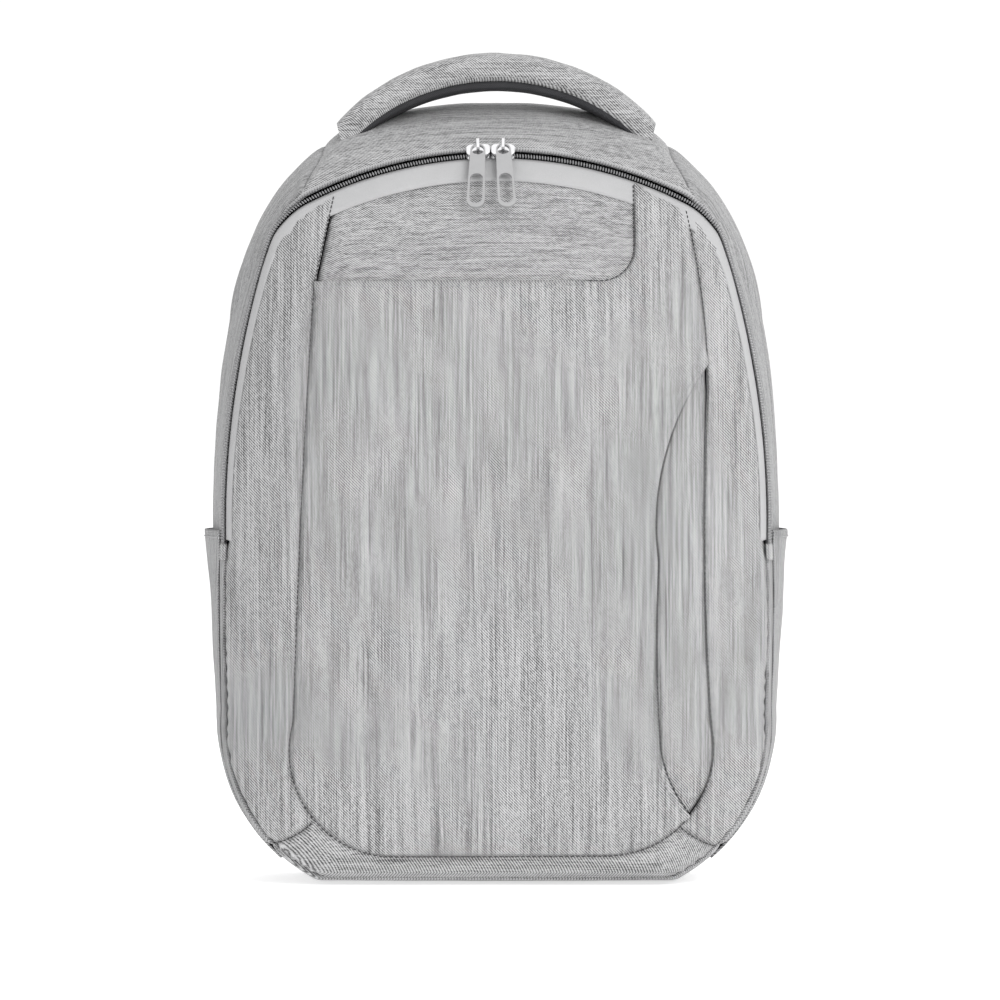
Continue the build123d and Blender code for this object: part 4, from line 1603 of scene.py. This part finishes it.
@dataclass
class Zip:
    """The tapes, the coil's teeth, the end tabs, the sliders and the pulls."""

    shop: Workshop
    front: Front
    nodes: dict[str, bpy.types.Object]
    tooth_pitch: float = 1.5
    tooth: tuple[float, float, float] = (3.3, 1.15, 2.2)
    coil_middle: float = 1.55
    lowest: float = 181.5

    def line(self, ahead: float, step: float) -> Points:
        """A line beside the zip's middle, from its right end over the top to its left end."""
        line = self.shop.body.zip_edge(ahead, 5.0, 1.6, step)
        return line[line[:, 2] > self.lowest]

    def outward(self, line: Points) -> Points:
        """The outward direction beside the zip."""
        body = self.shop.body
        ahead = body.zip_edge(0.8, 5.0, 1.6, 1.0)
        behind = body.zip_edge(-0.8, 5.0, 1.6, 1.0)
        count = min(len(ahead), len(behind))
        across = ahead[:count] - behind[:count]
        along = np.gradient(ahead[:count], axis=0)
        normal = unit(np.cross(across, along))
        normal *= np.sign((normal * (ahead[:count] - (0, 0, 190))).sum(axis=1, keepdims=True))
        place = np.linspace(0, 1, count)
        at = np.linspace(0, 1, len(line))
        return unit(np.column_stack([np.interp(at, place, normal[:, k]) for k in range(3)]))

    def tape(self, name: str, from_ahead: float, to_ahead: float, depth: float) -> bpy.types.Object:
        """Weaves one tape between two lines beside the coil."""
        lines = []
        for share in np.linspace(0, 1, 7):
            line = self.line(from_ahead + (to_ahead - from_ahead) * share, 2.0)
            place = np.linspace(0, 1, len(line))
            at = np.linspace(0, 1, 320)
            lines.append(np.column_stack([np.interp(at, place, line[:, k]) for k in range(3)]))
        out = self.outward(lines[0])
        wave = sway(lines[0], 16.0, from_ahead) * 0.35
        shares = (0, 0.5, 1, 1, 1, 0.5, 0)
        points = np.vstack([line - out * (depth + wave * s)[:, None] for line, s in zip(lines, shares)])
        faces = turned_out(points, grid_faces(7, 320), (0, -20, 200))
        piece = make_mesh(name, points, faces, [self.shop.finishes.tape])
        return bake_modifiers(thicken(piece, 0.8))

    def teeth(self, name: str, ahead: float) -> bpy.types.Object:
        """Sets one row of coil teeth."""
        line = self.line(ahead, self.tooth_pitch)
        out = self.outward(line)
        across = unit(np.cross(np.gradient(line, axis=0), out))
        tilt = unit(across + np.gradient(line, axis=0) * 0.10)
        coil = self.shop.finishes.coil
        return self.shop.repeats.make(name, line + out * 0.25, tilt, out, self.tooth, coil)

    def build(self) -> None:
        """Makes the zip."""
        front_tape = self.tape("front_tape_weave", 2.2, 10.5, 0.9)
        self.front.hinged(front_tape, "zip_tape", "zip_tape_front")
        front_coil = self.teeth("front_coil_teeth", self.coil_middle)
        self.front.hinged(front_coil, "zip_coil", "zip_coil_front")
        rear_tape = self.tape("rear_tape_weave", -2.2, -8.5, 0.9)
        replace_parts(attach(reported(rear_tape), "pack_body"), "zip_tape_rear")
        rear_coil = self.teeth("rear_coil_teeth", -self.coil_middle)
        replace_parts(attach(reported(rear_coil), "pack_body"), "zip_coil_rear")
        for side in Side:
            self.build_slider(side)
            self.build_end(side)

    def build_slider(self, side: Side) -> None:
        """Rounds one slider and its pull."""
        finishes, word = self.shop.finishes, side.word
        parts = (
            ("slider", "slider_metal", 0.45, finishes.nickel),
            ("pull", "pull_enamel", 0.5, finishes.enamel),
        )
        for kind, slot, easing, finish in parts:
            node = f"zip_{kind}_{word}"
            piece = eased_copy(f"{kind}_cast_{word}", self.nodes[node], easing, finish)
            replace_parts(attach(reported(piece), f"{kind}_{word}"), node)

    def build_end(self, side: Side) -> None:
        """Sews a tab over one end of the zip."""
        body = self.shop.body
        aheads = np.linspace(-6, 6, 9)
        around = np.linspace(1.4, 2.6, 200)
        rows = []
        for ahead in aheads:
            line = body.at(body.depth_at(ahead, around), around, side.value)
            heights = np.linspace(172.3, 181, 9)
            rows.append(np.column_stack([np.interp(heights, line[:, 2], line[:, k]) for k in range(3)]))
        grid = np.array(rows)
        share = np.abs(np.linspace(-1, 1, 9))
        dome = 1.25 - 0.5 * np.maximum(share[:, None], share[None, :]) ** 4
        grid[..., 0] += side.value * dome
        points = grid.reshape(-1, 3)
        faces = turned_out(points, grid_faces(9, 9), (0, -40, 177))
        piece = make_mesh(f"zip_end_cloth_{side.word}", points, faces, [self.shop.finishes.upright])
        bake_modifiers(thicken(piece, 1.1))
        node = f"zip_end_tab_{side.word}"
        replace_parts(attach(reported(piece), "pack_body"), node)


# ---------------------------------------------------------------------------------------------
# Pockets, sleeve and handle


@dataclass
class SidePockets:
    """The open-topped pocket on each side, with its elastic binding."""

    shop: Workshop
    low: float = 14.0
    high: float = 188.0
    binding: float = 4.6
    bulge: float = 3.6
    cloth: float = 1.2
    front_gap: float = 9.0
    rear_depth: float = 1.0
    columns: int = 44

    def surface(
        self, side: Side, lift: Callable[[Points, Points], Points], heights: Points, columns: int
    ) -> Points:
        """Points of the pocket's wall.

        Args:
            side: The side of the pack.
            lift: The distance off the body from the shares across and up.
            heights: The rows' heights.
            columns: The number of columns.

        Returns:
            A grid of points, row by row upward.
        """
        body = self.shop.body
        around = np.linspace(0.05, 2.4, 400)
        front = body.depth_at(-self.front_gap, around)
        share = np.linspace(0, 1, columns)
        spread = 0.5 - 0.5 * np.cos(math.pi * share) * (0.35 + 0.65 * np.abs(np.cos(math.pi * share)))
        rows = []
        for u in spread:
            line = body.at(self.rear_depth + (front - self.rear_depth) * u, around, side.value)
            rows.append(np.column_stack([np.interp(heights, line[:, 2], line[:, k]) for k in range(3)]))
        grid = np.array(rows).transpose(1, 0, 2)
        tall = (heights - self.low) / (self.high - self.low)
        off = lift(spread[None, :], tall[:, None])
        edge = np.gradient(grid, axis=0)
        wide = np.gradient(grid, axis=1)
        normal = unit(np.cross(edge, wide))
        normal *= np.sign((normal * (side.value, 0, 0)).sum(axis=-1, keepdims=True) + 1e-9)
        return grid + normal * off[..., None]

    def build(self) -> None:
        """Makes both pockets."""
        finishes = self.shop.finishes
        for side in Side:
            seed = 4.0 + side.value

            def lift(u: Points, t: Points) -> Points:
                shape = np.clip(np.sin(math.pi * np.clip(u, 0, 1)), 0, 1) ** 0.55
                tall = 0.30 + 0.70 * smoothstep(0.0, 0.85, t)
                flare = 0.4 * shape * smoothstep(0.9, 1, t)
                return 0.7 + self.bulge * shape * tall * (1 - np.exp(-t * 14)) + flare

            seam_rows = np.linspace(self.low, self.low + 6, 5)
            rows = np.concatenate([seam_rows, np.linspace(self.low + 10, self.high, 56)])
            grid = self.surface(side, lift, rows, self.columns)
            flat = grid.reshape(-1, 3)
            waves = sway(flat, 34.0, seed) * 0.8 + sway(flat * (1, 2, 0.6), 12.0, seed) * 0.3
            share = np.linspace(0, 1, self.columns)
            hold = np.clip(np.tile(np.minimum(share, share[::-1]) * 4, grid.shape[0]), 0, 1)
            points = flat + np.outer(waves * hold, (side.value, 0, 0))
            faces = turned_out(points, grid_faces(*grid.shape[:2]), (0, 20, 100))
            name = f"side_pocket_cloth_{side.word}"
            piece = make_mesh(name, points, faces, [finishes.flank, finishes.lining])
            bake_modifiers(thicken(piece, self.cloth, inner_slot=1))
            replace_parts(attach(reported(piece), "pack_body"), f"side_pocket_{side.word}")
            self.bind(side, lift)

    def bind(self, side: Side, lift: Callable[[Points, Points], Points]) -> None:
        """Folds the binding over one pocket's mouth."""
        heights = np.linspace(self.high - self.binding, self.high - 0.3, 4)
        top = self.surface(side, lift, heights, self.columns)
        middle = (top[0] + top[-1]) / 2 - (side.value * self.cloth / 2, 0, 0)
        line = resample(middle, 2.0)
        band = ribbon(
            f"pocket_mouth_binding_{side.word}", line, (0, 0, 1), self.binding, 2.3, self.shop.finishes.flank
        )
        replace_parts(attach(reported(band), "pack_body"), f"side_pocket_binding_{side.word}")
        thread = line + (side.value * 1.25, 0, -1.2)
        out = np.tile((float(side.value), 0, 0), (len(line), 1))
        sewn = self.shop.repeats.stitches(
            f"pocket_mouth_stitches_{side.word}", thread, out, self.shop.finishes.thread, 3.2
        )
        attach(reported(sewn), "pack_body")


@dataclass
class Inside:
    """What shows when the front is open: the laptop sleeve and the base board."""

    shop: Workshop
    nodes: dict[str, bpy.types.Object]
    half_width: float = 111.0
    front_y: float = 33.0
    back_y: float = 51.5
    low: float = 36.0
    high: float = 268.0

    def build(self) -> None:
        """Makes the sleeve, its binding and the board."""
        finishes = self.shop.finishes
        w, radius = self.half_width, 8.0
        turn = np.linspace(0, math.pi / 2, 7)
        centre = (w - radius, self.front_y + radius)
        corner = [(centre[0] + radius * math.cos(t), centre[1] - radius * math.sin(t)) for t in turn]
        half = [(w, self.back_y), *corner]
        flat = resample([*half, *[(-x, y) for x, y in half[::-1]]], 4.0)
        heights = np.linspace(self.low, self.high, 48)
        line = np.array([[(x, y, z) for x, y in flat] for z in heights])
        belly = sway(line.reshape(-1, 3), 50.0, 3.0).reshape(line.shape[:2]) * 1.0
        line[..., 1] += np.clip(belly, -0.8, 1.0) * (np.abs(line[..., 0]) < w - 14)
        points = line.reshape(-1, 3)
        faces = turned_out(points, grid_faces(*line.shape[:2]), (0, 54, 150))
        sleeve = make_mesh("laptop_sleeve_cloth", points, faces, [finishes.lining])
        bake_modifiers(thicken(sleeve, 1.6))
        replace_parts(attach(reported(sleeve), "pack_body"), "laptop_sleeve")
        edge = np.column_stack([flat, np.full(len(flat), self.high + 1.5)])
        edge = edge[np.abs(edge[:, 0]) < w - 2]
        edge[:, 1] += 0.8
        band = ribbon("sleeve_edge_binding", edge, (0, 0, 1), 7.0, 2.6, finishes.binding)
        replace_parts(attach(reported(band), "pack_body"), "laptop_sleeve_binding")
        board = eased_copy("base_board_panel", self.nodes["base_board"], 0.4, finishes.plastic)
        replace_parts(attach(reported(board), "pack_body"), "base_board")


@dataclass
class Handle:
    """The padded grab handle over the top, with its black hand lining and sewn ends."""

    shop: Workshop
    half_length: float = 84.0
    free: float = 58.0
    y: float = 20.0
    half_width: float = 14.6
    over: tuple[float, float] = (445.0, 404.0)
    under: tuple[float, float] = (424.5, 390.0)
    lining: float = 5.2

    def arch(self, x: Points, heights: tuple[float, float]) -> Points:
        """The height of an arch with a given middle and end, over X."""
        rise = heights[0] - heights[1]
        radius = (self.half_length**2 + rise**2) / (2 * rise)
        return heights[0] - radius + np.sqrt(radius**2 - x**2)

    def sweep(
        self, name: str, x: Points, band: tuple[float, float], half_width: float, square: float,
        material: bpy.types.Material,
    ) -> bpy.types.Object:
        """Sweeps a soft section along a stretch of the arch.

        Args:
            name: The piece's name.
            x: X along the stretch.
            band: The section's lower and upper heights above the arch's underside, in millimetres.
            half_width: Half its width along Y.
            square: The section's exponent; 2 is an ellipse.
            material: The finish.

        Returns:
            A closed mesh.
        """
        under, over = self.arch(x, self.under), self.arch(x, self.over)
        full = over - under
        low = under + band[0] * full / (self.over[0] - self.under[0])
        high = under + band[1] * full / (self.over[0] - self.under[0])
        angles = np.linspace(0, math.tau, 40, endpoint=False)
        c, s = np.cos(angles), np.sin(angles)
        u = np.sign(c) * np.abs(c) ** (2 / square)
        v = np.sign(s) * np.abs(s) ** (2 / square)
        middle, half = (low + high) / 2, (high - low) / 2
        slope = np.gradient(middle, x)
        lean = np.column_stack([-slope, np.ones(len(x))]) / np.sqrt(1 + slope**2)[:, None]
        off = half[:, None] * v[None, :] / np.maximum(lean[:, 1:], 0.6)
        px = x[:, None] + lean[:, :1] * off * 0.35
        pz = middle[:, None] + off
        py = self.y + half_width * u[None, :] + np.zeros_like(px)
        points = np.stack([px, py, pz], axis=-1).reshape(-1, 3)
        ripple = sway(points * (1.4, 1, 1), 15.0, 6.0) * 0.4
        centre = np.repeat(np.column_stack([x, np.full(len(x), self.y), middle]), 40, axis=0)
        points += unit(points - centre) * ripple[:, None]
        faces = grid_faces(len(x), 40, close_columns=True)
        faces += [tuple(range(40)), tuple(range((len(x) - 1) * 40, len(x) * 40))]
        piece = recalculate(make_mesh(name, points, faces, [material]))
        return part_caps(piece)

    def build(self) -> None:
        """Makes the middle and the two ends."""
        finishes = self.shop.finishes
        middle = np.linspace(-self.free, self.free, 60)
        tall = self.over[0] - self.under[0]
        cover = self.sweep(
            "handle_cover_cloth", middle, (self.lining - 1.5, tall), self.half_width, 3.0, finishes.level
        )
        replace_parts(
            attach(reported(cover), "grab_handle"), "handle_cover", "handle_foam"
        )
        bare = self.half_width - 1.8
        lining = self.sweep(
            "handle_hand_lining", middle, (0, self.lining), bare, 3.4, finishes.hand_lining
        )
        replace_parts(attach(reported(lining), "grab_handle"), "handle_lining")
        for side in Side:
            sign = side.value
            x = np.sort(np.linspace(self.free, self.half_length, 16) * sign)
            band = (self.lining - 1.5, tall)
            name = f"handle_end_cloth_{side.word}"
            end_cover = self.sweep(name, x, band, self.half_width, 3.0, finishes.level)
            name = f"handle_end_lining_{side.word}"
            end_lining = self.sweep(name, x, (0, self.lining), bare, 3.4, finishes.hand_lining)
            reported(end_cover)
            reported(end_lining)
            for piece in (end_cover, end_lining):
                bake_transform(piece)
            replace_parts(end_cover, f"handle_end_{side.word}")
        self.sew(middle, tall)

    def sew(self, x: Points, tall: float) -> None:
        """Adds the rows of stitches along the handle's lower edges."""
        under, over = self.arch(x, self.under), self.arch(x, self.over)
        height = under + (over - under) * (self.lining + 2.2) / tall
        for word, sign in (("front", -1.0), ("rear", 1.0)):
            line = np.column_stack([x, np.full(len(x), self.y + sign * (self.half_width - 0.35)), height])
            out = np.tile((0.0, sign, 0.0), (len(line), 1))
            piece = self.shop.repeats.stitches(
                f"handle_stitches_{word}", line, out, self.shop.finishes.thread, 3.4
            )
            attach(reported(piece), "grab_handle")


# ---------------------------------------------------------------------------------------------
# The harness


def inflate(
    piece: bpy.types.Object, voxel: float, cap: float, pressure: float = 4.0
) -> bpy.types.Object:
    """Swells a soft piece as if it were stuffed, with the cloth solver.

    Args:
        piece: A closed mesh.
        voxel: The remesh size in millimetres.
        cap: How far a point may move, in millimetres.
        pressure: The cloth's inner pressure.

    Returns:
        The same piece, as a plain mesh.
    """
    scene = bpy.context.scene
    remesh = piece.modifiers.new("remesh", "REMESH")
    remesh.mode = "VOXEL"
    remesh.voxel_size = voxel * MM
    remesh.use_smooth_shade = True
    bake_modifiers(piece)
    rest = np.array([v.co for v in piece.data.vertices], float)
    cloth = piece.modifiers.new("stuffing", "CLOTH")
    cloth.settings.use_pressure = True
    cloth.settings.uniform_pressure_force = pressure
    cloth.settings.effector_weights.gravity = 0.0
    cloth.settings.tension_stiffness = 20
    cloth.point_cache.frame_start = 1
    cloth.point_cache.frame_end = 20
    for number in range(1, 21):
        scene.frame_set(number)
    bake_modifiers(piece)
    scene.frame_set(1)
    now = np.array([v.co for v in piece.data.vertices], float)
    move = now - rest
    length = np.linalg.norm(move, axis=1, keepdims=True)
    now = rest + move * np.minimum(1.0, cap * MM / np.maximum(length, 1e-9))
    piece.data.vertices.foreach_set("co", now.ravel())
    finer = piece.modifiers.new("finer", "SUBSURF")
    finer.levels = finer.render_levels = 1
    bake_modifiers(piece)
    piece.data.polygons.foreach_set("use_smooth", [True] * len(piece.data.polygons))
    return piece


@dataclass
class BackPads:
    """The two back pads and the lumbar pad, in air mesh."""

    shop: Workshop
    back: float = 55.2
    thickness: float = 6.4
    corner: float = 20.0

    def pad(self, name: str, x: tuple[float, float], z: tuple[float, float]) -> bpy.types.Object:
        """Makes one pad.

        Args:
            name: The piece's name.
            x: Its left and right edges.
            z: Its lower and upper edges.

        Returns:
            A closed pillow that is flat at the back panel.
        """
        half = np.array([(x[1] - x[0]) / 2, (z[1] - z[0]) / 2])
        middle = np.array([(x[0] + x[1]) / 2, (z[0] + z[1]) / 2])
        outline = []
        for quarter in range(4):
            cx = (half[0] - self.corner) * (1, -1, -1, 1)[quarter]
            cz = (half[1] - self.corner) * (1, 1, -1, -1)[quarter]
            for a in np.linspace(quarter * math.pi / 2, (quarter + 1) * math.pi / 2, 9):
                outline.append((cx + self.corner * math.cos(a), cz + self.corner * math.sin(a)))
        ring = resample([*outline, outline[0]], 5.0)[:-1]
        inset = np.array((0.0, 0.8, 3.0, 8.0, 13.0, 18.0, 23.0)) * min(1.0, float(half.min()) / 26)
        rise = (0.0, 0.45, 0.80, 0.97, 1.0, 1.0, 1.0)
        rows = []
        for back, height in zip(inset, rise):
            scale = 1 - back / half
            flat = middle + ring * scale
            y = self.back + self.thickness * height
            rows.append(np.column_stack([flat[:, 0], np.full(len(flat), y), flat[:, 1]]))
        flat = middle + ring * 0.99
        floor = np.column_stack([flat[:, 0], np.full(len(ring), self.back), flat[:, 1]])
        points = np.vstack([floor, *rows])
        n = len(ring)
        faces = grid_faces(len(rows) + 1, n, close_columns=True)
        faces += [tuple(range(n)), tuple(range(len(rows) * n, (len(rows) + 1) * n))]
        piece = recalculate(make_mesh(name, points, faces, [self.shop.finishes.mesh]))
        inflate(piece, 3.2, 0.6)
        return piece

    def build(self) -> None:
        """Makes the three pads."""
        pads = {
            "left": ((-107.0, -15.0), (119.0, 349.0)),
            "right": ((15.0, 107.0), (119.0, 349.0)),
            "lumbar": ((-95.0, 95.0), (53.0, 107.0)),
        }
        for word, (x, z) in pads.items():
            piece = self.pad(f"back_pad_mesh_{word}", x, z)
            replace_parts(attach(reported(piece), "pack_body"), f"back_pad_{word}")


@dataclass
class Strap:
    """One shoulder strap with its ladder lock and webbing."""

    shop: Workshop
    nodes: dict[str, bpy.types.Object]
    side: Side
    top_z: float = 396.0
    low_z: float = 115.0
    thickness: float = 8.6
    mesh_thickness: float = 2.9

    def frame(self, heights: Points) -> tuple[Points, Points, Points]:
        """The strap's inner edge, outer edge and inner face over its heights."""
        outer = np.array(arc_through((68, 397), (108, 270), (104, 114), 60))
        inner = np.array(arc_through((16, 397), (56, 260), (58, 114), 60))
        face = np.array(arc_through((397, 58.2), (255, 72.6), (114, 67.1), 60))

        def read(line: Points, from_column: int, to_column: int) -> Points:
            order = np.argsort(line[:, from_column])
            return np.interp(heights, line[order, from_column], line[order, to_column])

        return read(inner, 1, 0), read(outer, 1, 0), read(face, 0, 1)

    def layer(
        self,
        name: str,
        start: float,
        depth: float,
        shrink: float,
        material: bpy.types.Material,
        square: float,
    ) -> bpy.types.Object:
        """Makes one layer of the strap.

        Args:
            name: The piece's name.
            start: Its distance from the strap's inner face.
            depth: Its thickness.
            shrink: How much narrower than the strap it is on each edge.
            material: The finish.
            square: The section's exponent.

        Returns:
            A closed mesh.
        """
        heights = np.linspace(self.top_z, self.low_z, 76)
        near, far, face = self.frame(heights)
        end = np.minimum((heights - self.low_z) / 10, 1)
        tuck = 1 - 0.16 * (1 - np.sqrt(np.clip(1 - (1 - end) ** 2, 0, 1)))
        angles = np.linspace(0, math.tau, 36, endpoint=False)
        c, s = np.cos(angles), np.sin(angles)
        u = np.sign(c) * np.abs(c) ** (2 / square)
        v = np.sign(s) * np.abs(s) ** (2 / 2.4)
        middle, half = (near + far) / 2, (far - near) / 2 - shrink
        x = middle[:, None] + (half * tuck)[:, None] * u[None, :]
        y = (face + start + depth / 2)[:, None] + depth / 2 * v[None, :]
        z = np.broadcast_to(heights[:, None], x.shape)
        points = np.stack([x * self.side.value, y, z], axis=-1).reshape(-1, 3)
        faces = grid_faces(len(heights), 36, close_columns=True)
        faces += [tuple(range(36)), tuple(range((len(heights) - 1) * 36, len(heights) * 36))]
        return part_caps(recalculate(make_mesh(name, points, faces, [material])))

    def build(self) -> None:
        """Makes the strap and what hangs on it."""
        finishes, word, sign = self.shop.finishes, self.side.word, self.side.value
        body = f"strap_{word}"
        cover = self.layer(f"strap_cloth_{word}", 3.1, self.thickness, 0.8, finishes.upright, 6.0)
        inflate(cover, 3.6, 0.6)
        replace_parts(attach(reported(cover), body), f"strap_cover_{word}")
        mesh = self.layer(f"strap_air_mesh_{word}", 0.1, self.mesh_thickness, 1.6, finishes.mesh, 8.0)
        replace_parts(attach(reported(mesh), body), f"strap_mesh_{word}")
        heights = np.linspace(self.top_z - 6, self.low_z + 5, 80)
        near, far, face = self.frame(heights)
        for edge, x in (("inner", near + 4.6), ("outer", far - 4.6)):
            line = np.column_stack([x * sign, face + 3.1 + self.thickness * 0.93, heights])
            out = np.tile((0.0, 1.0, 0.0), (len(line), 1))
            name = f"strap_stitches_{edge}_{word}"
            sewn = self.shop.repeats.stitches(name, line, out, finishes.thread, 3.4)
            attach(reported(sewn), body)
        self.build_webbing(body)

    def build_webbing(self, body: str) -> None:
        """Makes the ladder lock, its loop, the tail, the lower webbing and the anchor."""
        finishes, word = self.shop.finishes, self.side.word
        node = f"ladder_lock_{word}"
        lock = eased_copy(f"ladder_lock_cast_{word}", self.nodes[node], 0.8, finishes.plastic)
        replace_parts(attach(reported(lock), body), node)
        carriers = {
            f"ladder_lock_loop_{word}": body,
            f"webbing_tail_{word}": body,
            f"lower_webbing_{word}": f"lower_webbing_{word}",
            f"webbing_anchor_{word}": "pack_body",
        }
        for node, carrier in carriers.items():
            piece = eased_copy(f"{node}_weave", self.nodes[node], 0.35, finishes.webbing)
            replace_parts(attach(reported(piece), carrier), node)


@dataclass
class Yoke:
    """The seam that holds the straps' tops."""

    shop: Workshop

    def build(self) -> None:
        """Makes the yoke's folded band."""
        line = np.column_stack([np.linspace(-60, 60, 60), np.full(60, 56.0), 401.5 + np.zeros(60)])
        band = ribbon("strap_yoke_band", line, (0, 0, 1), 5.0, 1.9, self.shop.finishes.back)
        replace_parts(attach(reported(band), "pack_body"), "strap_yoke")


# ---------------------------------------------------------------------------------------------
# The studio


@dataclass(frozen=True)
class Lamp:
    """One soft area light."""

    name: str
    place: tuple[float, float, float]
    size: tuple[float, float]
    power: float

    def add(self, target: Vector) -> None:
        """Hangs the light and aims it."""
        data = bpy.data.lights.new(self.name, "AREA")
        data.shape = "RECTANGLE"
        data.size, data.size_y = self.size
        data.energy = self.power
        lamp = bpy.data.objects.new(self.name, data)
        lamp.location = self.place
        lamp.rotation_euler = (target - Vector(self.place)).to_track_quat("-Z", "Y").to_euler()
        bpy.context.scene.collection.objects.link(lamp)


@dataclass
class Studio:
    """The pale floor, the soft lights and the camera."""

    floor_radius: float = 14.0
    world: float = 0.72
    backdrop: float = 1.05
    camera_place: tuple[float, float, float] = (0.002, -3.89, 0.262)
    camera_target: tuple[float, float, float] = (0.002, 0.0, 0.2035)
    lens: float = 260.0
    lamps: tuple[Lamp, ...] = (
        Lamp("key", (1.5, -2.3, 1.7), (1.6, 1.6), 46.0),
        Lamp("fill", (-2.2, -1.8, 1.1), (1.8, 1.8), 3.0),
        Lamp("top", (0.1, 0.2, 2.6), (2.4, 2.4), 14.0),
        Lamp("back", (0.4, 2.6, 1.6), (2.0, 1.6), 14.0),
    )

    def build(self) -> None:
        """Sets up the studio."""
        scene = bpy.context.scene
        scene.view_settings.view_transform = "Standard"
        world = bpy.data.worlds.new("studio")
        world.use_nodes = True
        background = world.node_tree.nodes["Background"]
        background.inputs["Color"].default_value = (1.0, 1.0, 1.0, 1.0)
        path = world.node_tree.nodes.new("ShaderNodeLightPath")
        level = world.node_tree.nodes.new("ShaderNodeMapRange")
        level.inputs["To Min"].default_value = self.world
        level.inputs["To Max"].default_value = self.backdrop
        world.node_tree.links.new(path.outputs["Is Camera Ray"], level.inputs["Value"])
        world.node_tree.links.new(level.outputs["Result"], background.inputs["Strength"])
        scene.world = world
        recipe = Recipe("pale_floor", (0.9, 0.9, 0.9))
        worn = recipe.noise([900.0] * 3, 2.0, 0.5)
        material = recipe.finish(
            recipe.mix(worn, (0.90, 0.90, 0.90), (0.93, 0.93, 0.93)), 0.9, emission_strength=0.50,
        )
        recipe.shader.inputs["Emission Color"].default_value = (1.0, 1.0, 1.0, 1.0)
        angles = np.linspace(0, math.tau, 64, endpoint=False)
        ring = np.column_stack([np.cos(angles), np.sin(angles), np.zeros(64)])
        points = np.vstack([ring * r / MM for r in (self.floor_radius, 3.0, 1.0, 0.3)])
        points[:, 2] = -0.05
        faces = grid_faces(4, 64, close_columns=True) + [tuple(range(192, 256))]
        faces = turned_out(points, faces, (0, 0, -1000))
        floor = make_mesh("studio_floor", points, faces, [material])
        target = Vector((0.0, 0.0, 0.2))
        for lamp in self.lamps:
            lamp.add(target)
        data = bpy.data.cameras.new("camera")
        data.lens = self.lens
        data.sensor_width = 36.0
        data.clip_end = 60.0
        camera = bpy.data.objects.new("camera", data)
        camera.location = self.camera_place
        aim = Vector(self.camera_target) - Vector(self.camera_place)
        camera.rotation_euler = aim.to_track_quat("-Z", "Y").to_euler()
        scene.collection.objects.link(camera)
        scene.camera = camera


def main() -> None:
    logging.basicConfig(level=logging.INFO, format="%(name)s: %(message)s")
    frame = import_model()
    nodes = frame["nodes"]
    shop = Workshop(Body(), Finishes(), Repeats())
    front = Front(shop, Seams())
    front.build()
    Shell(shop, front).build()
    Zip(shop, front, nodes).build()
    SidePockets(shop).build()
    Inside(shop, nodes).build()
    Handle(shop).build()
    BackPads(shop).build()
    for side in Side:
        Strap(shop, nodes, side).build()
    Yoke(shop).build()
    Studio().build()
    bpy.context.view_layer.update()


if __name__ == "__main__":
    main()
